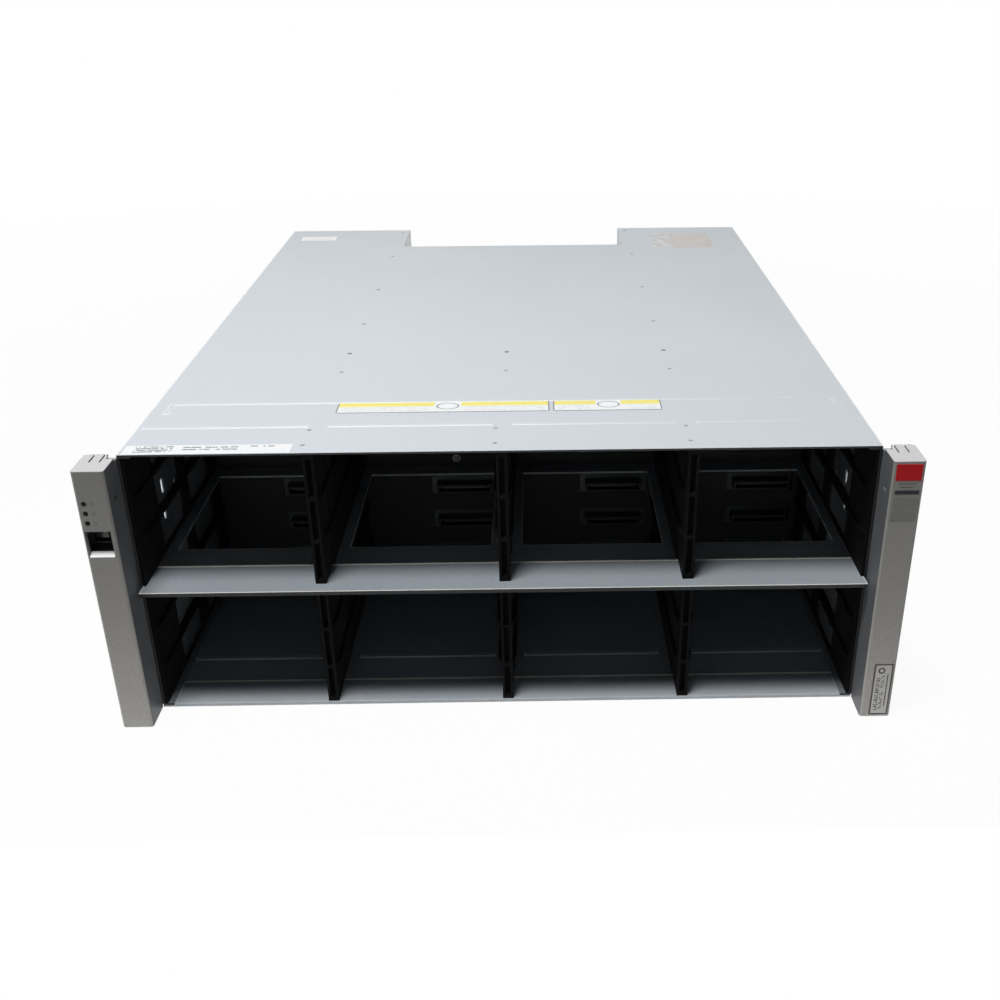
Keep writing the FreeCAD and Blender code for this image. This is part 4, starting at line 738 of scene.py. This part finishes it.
def make_tag_print():
    """The tag: a pale plate with painted shadow round its edge, with columns of tiny rules, a line
    and an empty ring.
    """
    low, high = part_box("tag_frame")
    width, foot, rim = high.x - low.x, low.z, 0.7 * MM
    pitch, inked, grain = 1.3 * MM, 0.6, 900.0
    ring_reach, ring_line = (1.7 * MM, 1.7 * MM), 0.3

    def limits(share_from, share_to, start, end):
        """Shares of the tag's width, and heights in mm above its foot, as places."""
        return ((low.x + share_from * width, low.x + share_to * width),
                (foot + start * MM, foot + end * MM))

    columns = [limits(*column) for column in
               ((0.16, 0.38, 3, 27), (0.44, 0.62, 4, 17), (0.44, 0.62, 20, 29))]
    line = limits(0.74, 0.8, 6, 30)
    ring_middle = (low.x + 0.4 * width, foot + 32.4 * MM)
    inside = (low.x + rim, high.x - rim), (foot + rim, high.z - rim)
    ink = srgb(66, 65, 66)
    layers = [(lambda s, column=column: print_rows(s, "xz", *column, pitch, inked, grain), ink)
              for column in columns]
    layers += [(lambda s: s.patch("xz", *line), ink),
               (lambda s: s.ring("xz", ring_middle, ring_reach, ring_line), ink),
               # Painted shadow of the gap round the plate, along its edge.
               (lambda s: s.outside("xz", *inside), srgb(84, 78, 75))]
    return paper("tag_print", srgb(206, 204, 200), layers, 0.35)


def make_lamp_marks():
    """A dark bezel round each of the three lamps, and a small ring beside it."""
    low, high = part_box("light_pipes")
    across, end, thick = (low.x + high.x) / 2, 2.0 * MM, 0.05 * MM
    rings = (("lamp_bezel", 0.0, 1.05, 1.5, "lamp_plastic"),
             ("lamp_mark", 4.5, 0.65, 1.05, "lamp_mark_ink"))
    for number in range(3):
        height = low.z + end + number * (high.z - low.z - 2 * end) / 2
        for name, shift, inner, outer, finish in rings:
            middle = Vector((across + shift * MM, cap_low.y, height))
            add_piece(f"{name}_{number + 1}",
                      lambda shape: annulus(shape, middle, FRONT, inner * MM, outer * MM, thick),
                      "left_cap", FINISHES[finish])


def make_pocket_highlight():
    """A thin white sheet on the front part of the pocket's sloping foot, standing as a painted
    highlight where light falls on it.
    """
    inset, near, far, slope = 0.3 * MM, 0.1 * MM, 4.2 * MM, 0.48
    clear, thick = 0.1 * MM, 0.15 * MM
    left, right = pocket_left + inset, pocket_left + POCKET_WIDTH - inset

    def fill(shape):
        low = [shape.verts.new((x, cap_low.y + deep, pocket_foot + slope * deep + clear))
               for x, deep in ((left, near), (right, near), (right, far), (left, far))]
        high = [shape.verts.new(corner.co + Vector((0.0, 0.0, thick))) for corner in low]
        shape.faces.new(low)
        shape.faces.new(high)
        bridge(shape, low, high)
    # A white sheet as a painted highlight on the lit ledge.
    highlight_sheet = paper("pocket_highlight_sheet", srgb(252, 252, 252), [])
    add_piece("pocket_highlight", fill, "left_cap", highlight_sheet)


def make_digits():
    """Two unlit seven-segment digits on the display's window."""
    low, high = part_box("id_display")
    wide, tall, bar, apart = 2.2 * MM, 4.6 * MM, 0.5 * MM, 1.8 * MM
    radius, thick = 0.2 * MM, 0.05 * MM
    level_bars = [(0, level * tall / 2, wide - bar, bar) for level in (-1, 0, 1)]
    upright_bars = [(edge * wide / 2, level * tall / 4, bar, tall / 2 - bar)
                    for edge, level in ((-1, -1), (-1, 1), (1, -1), (1, 1))]

    def fill(shape):
        for side in (-1, 1):
            centre = Vector(((low.x + high.x) / 2 + side * apart, low.y, (low.z + high.z) / 2))
            for across, up, width, height in level_bars + upright_bars:
                sticker(shape, centre + Vector((across, 0, up)), FRONT, width, height,
                        radius, thick)
    add_piece("display_digits", fill, "left_cap", FINISHES["unlit_segment"])


make_right_cap_trim()
nodes["tag_frame"].data.materials[0] = make_tag_print()
make_lamp_marks()
make_pocket_highlight()
make_digits()


# ---------------------------------------------------------------- inside: connectors and a screw

def solids_of(node):
    """The boxes of a node's separate solids, row by row from below, each from left to right."""
    shape = bmesh.new()
    shape.from_mesh(nodes[node].data)
    shape.transform(nodes[node].matrix_world)
    bmesh.ops.remove_doubles(shape, verts=shape.verts, dist=1e-6)
    waiting, boxes = set(shape.verts), []
    while waiting:
        island, edge = set(), {waiting.pop()}
        while edge:
            island |= edge
            edge = {link.other_vert(vert) for vert in edge for link in vert.link_edges} - island
        waiting -= island
        boxes.append(tuple(Vector([pick(vert.co[axis] for vert in island) for axis in range(3)])
                           for pick in (min, max)))
    shape.free()
    return sorted(boxes, key=lambda box: (round(box[0].z, 4), round(box[0].x, 4)))


def make_contacts(name, gold):
    """Black plastic with a row of gold contacts."""
    pitch, gold_share = 1.27 * MM, 0.55
    shader = Shader(name)
    steps = shader.math("FRACT", shader.math("DIVIDE", shader.axis("x"), pitch))
    stripe = shader.math("LESS_THAN", steps, gold_share)
    shader.colour(shader.blend(stripe, srgb(24, 24, 25), gold))
    shader.rough(shader.spread(shader.noise(300.0), 0.3, 0.7, 0.28, 0.38))
    shader.link(stripe, shader.bsdf.inputs["Metallic"])
    shader.relief(stripe, 0.2, 0.05 * MM)
    return shader.material


def add_tongues(name, node, body, face, recess, side_gap, thick, finish):
    """A contact tongue in every solid of a node, from its floor to a recess behind its mouth.

    The recess, the gap beside the tongue and its thickness are in mm."""
    floor, radius = 2.0 * MM, 0.3 * MM

    def fill(shape):
        for low, high in solids_of(node):
            middle = (low + high) / 2
            middle.y = high.y - floor if face is FRONT else low.y + floor
            width = high.x - low.x - 2 * side_gap * MM
            depth = high.y - low.y - floor - recess * MM
            sticker(shape, middle, face, width, thick * MM, radius, depth)
    add_piece(name, fill, body, finish)


def make_tongues():
    drive_contacts = make_contacts("drive_contacts", srgb(66, 56, 36))
    add_tongues("drive_tongues", "drive_connectors", "chassis", FRONT, 3.4, 4.0, 1.3,
                drive_contacts)
    port_contacts = make_contacts("port_contacts", srgb(196, 158, 84))
    for body in ("lower_io", "upper_io"):
        add_tongues(body + "_tongues", body + "_ports", body, REAR, 3.0, 3.6, 1.2, port_contacts)


def make_midplane_screw():
    """One screw with its washer low on the midplane frame, left of the middle divider."""
    place = Vector((-40 * MM, midplane_front, shelf_high.z + 3.0 * MM))
    inner, outer, thick = 2.1 * MM, 2.9 * MM, 0.4 * MM
    add_domes("midplane_screw", "chassis", FRONT, [place], 1.5, 0.8, "rivet_pale")
    add_piece("midplane_washer",
              lambda shape: annulus(shape, place, FRONT, inner, outer, thick),
              "chassis", FINISHES["rivet_pale"])


make_tongues()
make_midplane_screw()


# ---------------------------------------------------------------- rear trim

def make_hub_disc(body):
    """A bare round label with a circle on it, on the hub of a power module's fan."""
    size, corner, line_radius, line = 21 * MM, 10.4, 8 * MM, 0.06
    low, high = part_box(body + "_fan_frame")
    middle = (low + high) / 2
    middle.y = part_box(body + "_fan_rotor")[1].y
    layers = [(lambda s: s.ring("xz", (middle.x, middle.z), (line_radius, line_radius), line),
               LINE_GREY)]
    silver = paper(body + "_hub_paper", srgb(196, 197, 198), layers, 0.35)
    add_plate(body + "_hub_disc", body + "_fan", REAR, middle, size, size, silver, radius=corner)


def make_power_trim(body):
    """On one power module: status lamps, two screws, the fan's hub disc and a lever's pivot cap."""
    lamp_columns, lamp_height, inset, pivot_inset = (84, 91, 98), 21.2 * MM, 5 * MM, 4.5 * MM
    low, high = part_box(body + "_faceplate")
    lamps = [Vector((low.x + across * MM, rear, low.z + lamp_height)) for across in lamp_columns]
    add_domes(body + "_lamps", body, REAR, lamps, 1.3, 0.5, "status_lamp")
    screws = [Vector((across, rear, high.z - inset)) for across in (low.x + inset, high.x - inset)]
    add_domes(body + "_screws", body, REAR, screws, 2.6, 1.0, "rivet_steel")
    make_hub_disc(body)
    low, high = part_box(body + "_lever")
    pivot = Vector((high.x - pivot_inset, low.y + pivot_inset, high.z))
    add_domes(body + "_pivot_cap", body + "_handle", TOP, [pivot], 1.9, 0.6, "rivet_steel")


def make_io_trim(body):
    """On one input and output module: two lamps over each port and caps on the levers' pivots."""
    lamp_shift, lamp_rise, pivot_inset = 3 * MM, 3.2 * MM, 3.5 * MM
    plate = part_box("io_bay_blanks")[1].y
    lamps = [Vector(((low.x + high.x) / 2 + side * lamp_shift, plate, high.z + lamp_rise))
             for low, high in solids_of(body + "_ports") for side in (-1, 1)]
    add_domes(body + "_lamps", body, REAR, lamps, 0.9, 0.4, "status_lamp")
    for side, word in ((-1, "left"), (1, "right")):
        low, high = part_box(f"{body}_{word}_lever")
        outer = low.x if side < 0 else high.x
        pivot = Vector((outer - side * pivot_inset, low.y + pivot_inset, high.z))
        add_domes(f"{body}_{word}_pivot_cap", f"{body}_{word}_ejector", TOP, [pivot], 1.6, 0.5,
                  "rivet_steel")


def make_blank_screws():
    """Four screws on each blank plate."""
    places = []
    for node, inset in (("power_bay_blanks", 5.5 * MM), ("io_bay_blanks", 5.0 * MM)):
        for low, high in solids_of(node):
            places += [Vector((across, high.y, height))
                       for across in (low.x + inset, high.x - inset)
                       for height in (low.z + inset, high.z - inset)]
    add_domes("blank_screws", "chassis", REAR, places, 2.3, 0.9, "rivet_steel")


def make_side_rivets():
    """Rivet heads on the side walls and the legs of the rack ears."""
    leg_thick, leg_middle, rear_inset = 1.5 * MM, 34 * MM, 14 * MM
    for side, word in ((-1, "left"), (1, "right")):
        low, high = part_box(word + "_side_wall")
        skin = low.x if side < 0 else high.x
        face = (Vector((0, 1, 0)), Vector((0, 0, 1)), Vector((side, 0, 0)))
        heights = [low.z + share * (high.z - low.z) for share in (0.15, 0.5, 0.85)]
        on_leg = [Vector((skin + side * leg_thick, leg_middle, height)) for height in heights]
        add_domes(word + "_ear_rivets", "chassis", face, on_leg, 2.4, 0.9, "rivet_steel")
        on_wall = [Vector((skin, deep, height)) for deep in (midplane_front, rear - rear_inset)
                   for height in heights]
        add_domes(word + "_wall_rivets", "chassis", face, on_wall, 2.0, 0.3, "rivet_pale")


for module in ("left_power", "right_power"):
    make_power_trim(module)
for module in ("lower_io", "upper_io"):
    make_io_trim(module)
make_blank_screws()
make_side_rivets()


# ---------------------------------------------------------------- floor, light and camera

# How far the white table reaches in front of the object, to either side and behind, and its level.
# It is short in front, which leaves the upright fronts in shade.
TABLE_FRONT, TABLE_SIDE, TABLE_BACK, TABLE_LEVEL = 0.13, 3.0, 4.0, -0.0003

# Between these distances from the middle, the white that the camera sees on the table instead of
# light and shade grows from the first share to the second.
WHITENING_FROM, WHITENING_TO, LEAST_WHITE, MOST_WHITE = 0.6, 1.8, 0.94, 1.0

WORLD_STRENGTH = 0.06

# Square lamps: place, point aimed at, side, and power in watts.
LAMPS = {
    "key": ((-0.3, -0.38, 2.1), (-0.05, 0.2, 0.1), 0.55, 38.5),
    "front_fill": ((-0.5, -2.4, 0.5), (0.0, 0.0, 0.1), 0.8, 1.0),
    "left_fill": ((-2.2, 1.6, 1.2), (0.0, 0.4, 0.1), 1.0, 6.0),
    "right_fill": ((2.2, 1.6, 1.2), (0.0, 0.4, 0.1), 1.0, 5.0),
}

# The camera: place, turns in degrees, sensor and lens in mm, shift as shares of the picture.
CAMERA_PLACE, CAMERA_TURNS = (0.02125, -0.63897, 0.43959), (62.464, 0.342, -1.001)
CAMERA_SENSOR, CAMERA_LENS, CAMERA_SHIFT, CAMERA_NEAR = 36.0, 42.68, (-0.0543, 0.0538), 0.01


def white_when_seen(tree, plain, share=None):
    """A plain shader that camera, mirror and glass rays see as white light.

    A share, if given, says how much of what they see is white."""
    def combined(operation, first, second):
        node = tree.nodes.new("ShaderNodeMath")
        node.operation = operation
        tree.links.new(first, node.inputs[0])
        tree.links.new(second, node.inputs[1])
        return node.outputs[0]

    path = tree.nodes.new("ShaderNodeLightPath")
    seen = path.outputs["Is Camera Ray"]
    for ray in ("Is Glossy Ray", "Is Transmission Ray"):
        seen = combined("MAXIMUM", seen, path.outputs[ray])
    if share:
        seen = combined("MULTIPLY", seen, share)
    glow = tree.nodes.new("ShaderNodeEmission")
    glow.inputs["Color"].default_value = (1.0, 1.0, 1.0, 1.0)
    mixed = tree.nodes.new("ShaderNodeMixShader")
    tree.links.new(seen, mixed.inputs["Fac"])
    tree.links.new(plain, mixed.inputs[1])
    tree.links.new(glow.outputs[0], mixed.inputs[2])
    return mixed.outputs[0]


def make_floor():
    mesh = bpy.data.meshes.new("floor")
    corners = ((-TABLE_SIDE, -TABLE_FRONT), (TABLE_SIDE, -TABLE_FRONT),
               (TABLE_SIDE, TABLE_BACK), (-TABLE_SIDE, TABLE_BACK))
    mesh.from_pydata([(*corner, TABLE_LEVEL) for corner in corners], [], [(0, 1, 2, 3)])
    floor = bpy.data.objects.new("floor", mesh)
    bpy.context.scene.collection.objects.link(floor)
    shader = Shader("floor_white")
    shader.colour(shader.blend(shader.noise(3.0), srgb(236, 236, 236), srgb(240, 240, 240)))
    shader.bsdf.inputs["Roughness"].default_value = 0.8
    away = shader.add("ShaderNodeVectorMath", operation="LENGTH")
    shader.link(shader.place, away.inputs[0])
    share = shader.spread(away.outputs["Value"], WHITENING_FROM, WHITENING_TO,
                          LEAST_WHITE, MOST_WHITE)
    mixed = white_when_seen(shader.tree, shader.bsdf.outputs[0], share)
    shader.link(mixed, shader.tree.nodes["Material Output"].inputs["Surface"])
    mesh.materials.append(shader.material)


def make_world():
    world = bpy.data.worlds.new("studio")
    bpy.context.scene.world = world
    world.use_nodes = True
    tree = world.node_tree
    soft = tree.nodes["Background"]
    soft.inputs["Color"].default_value = (1.0, 1.0, 1.0, 1.0)
    soft.inputs["Strength"].default_value = WORLD_STRENGTH
    mixed = white_when_seen(tree, soft.outputs[0])
    tree.links.new(mixed, tree.nodes["World Output"].inputs["Surface"])


def make_lamps():
    for name, (place, aim, side, power) in LAMPS.items():
        lamp = bpy.data.lights.new(name, "AREA")
        lamp.shape = "SQUARE"
        lamp.size = side
        lamp.energy = power
        thing = bpy.data.objects.new(name, lamp)
        thing.location = place
        thing.rotation_euler = (Vector(aim) - Vector(place)).to_track_quat("-Z", "Y").to_euler()
        bpy.context.scene.collection.objects.link(thing)


def make_camera():
    data = bpy.data.cameras.new("camera")
    data.sensor_width = CAMERA_SENSOR
    data.lens = CAMERA_LENS
    data.shift_x, data.shift_y = CAMERA_SHIFT
    data.clip_start = CAMERA_NEAR
    camera = bpy.data.objects.new("camera", data)
    camera.location = CAMERA_PLACE
    camera.rotation_euler = Euler([math.radians(turn) for turn in CAMERA_TURNS])
    bpy.context.scene.collection.objects.link(camera)
    bpy.context.scene.camera = camera


make_floor()
make_world()
make_lamps()
make_camera()
bpy.context.scene.view_settings.view_transform = "Standard"
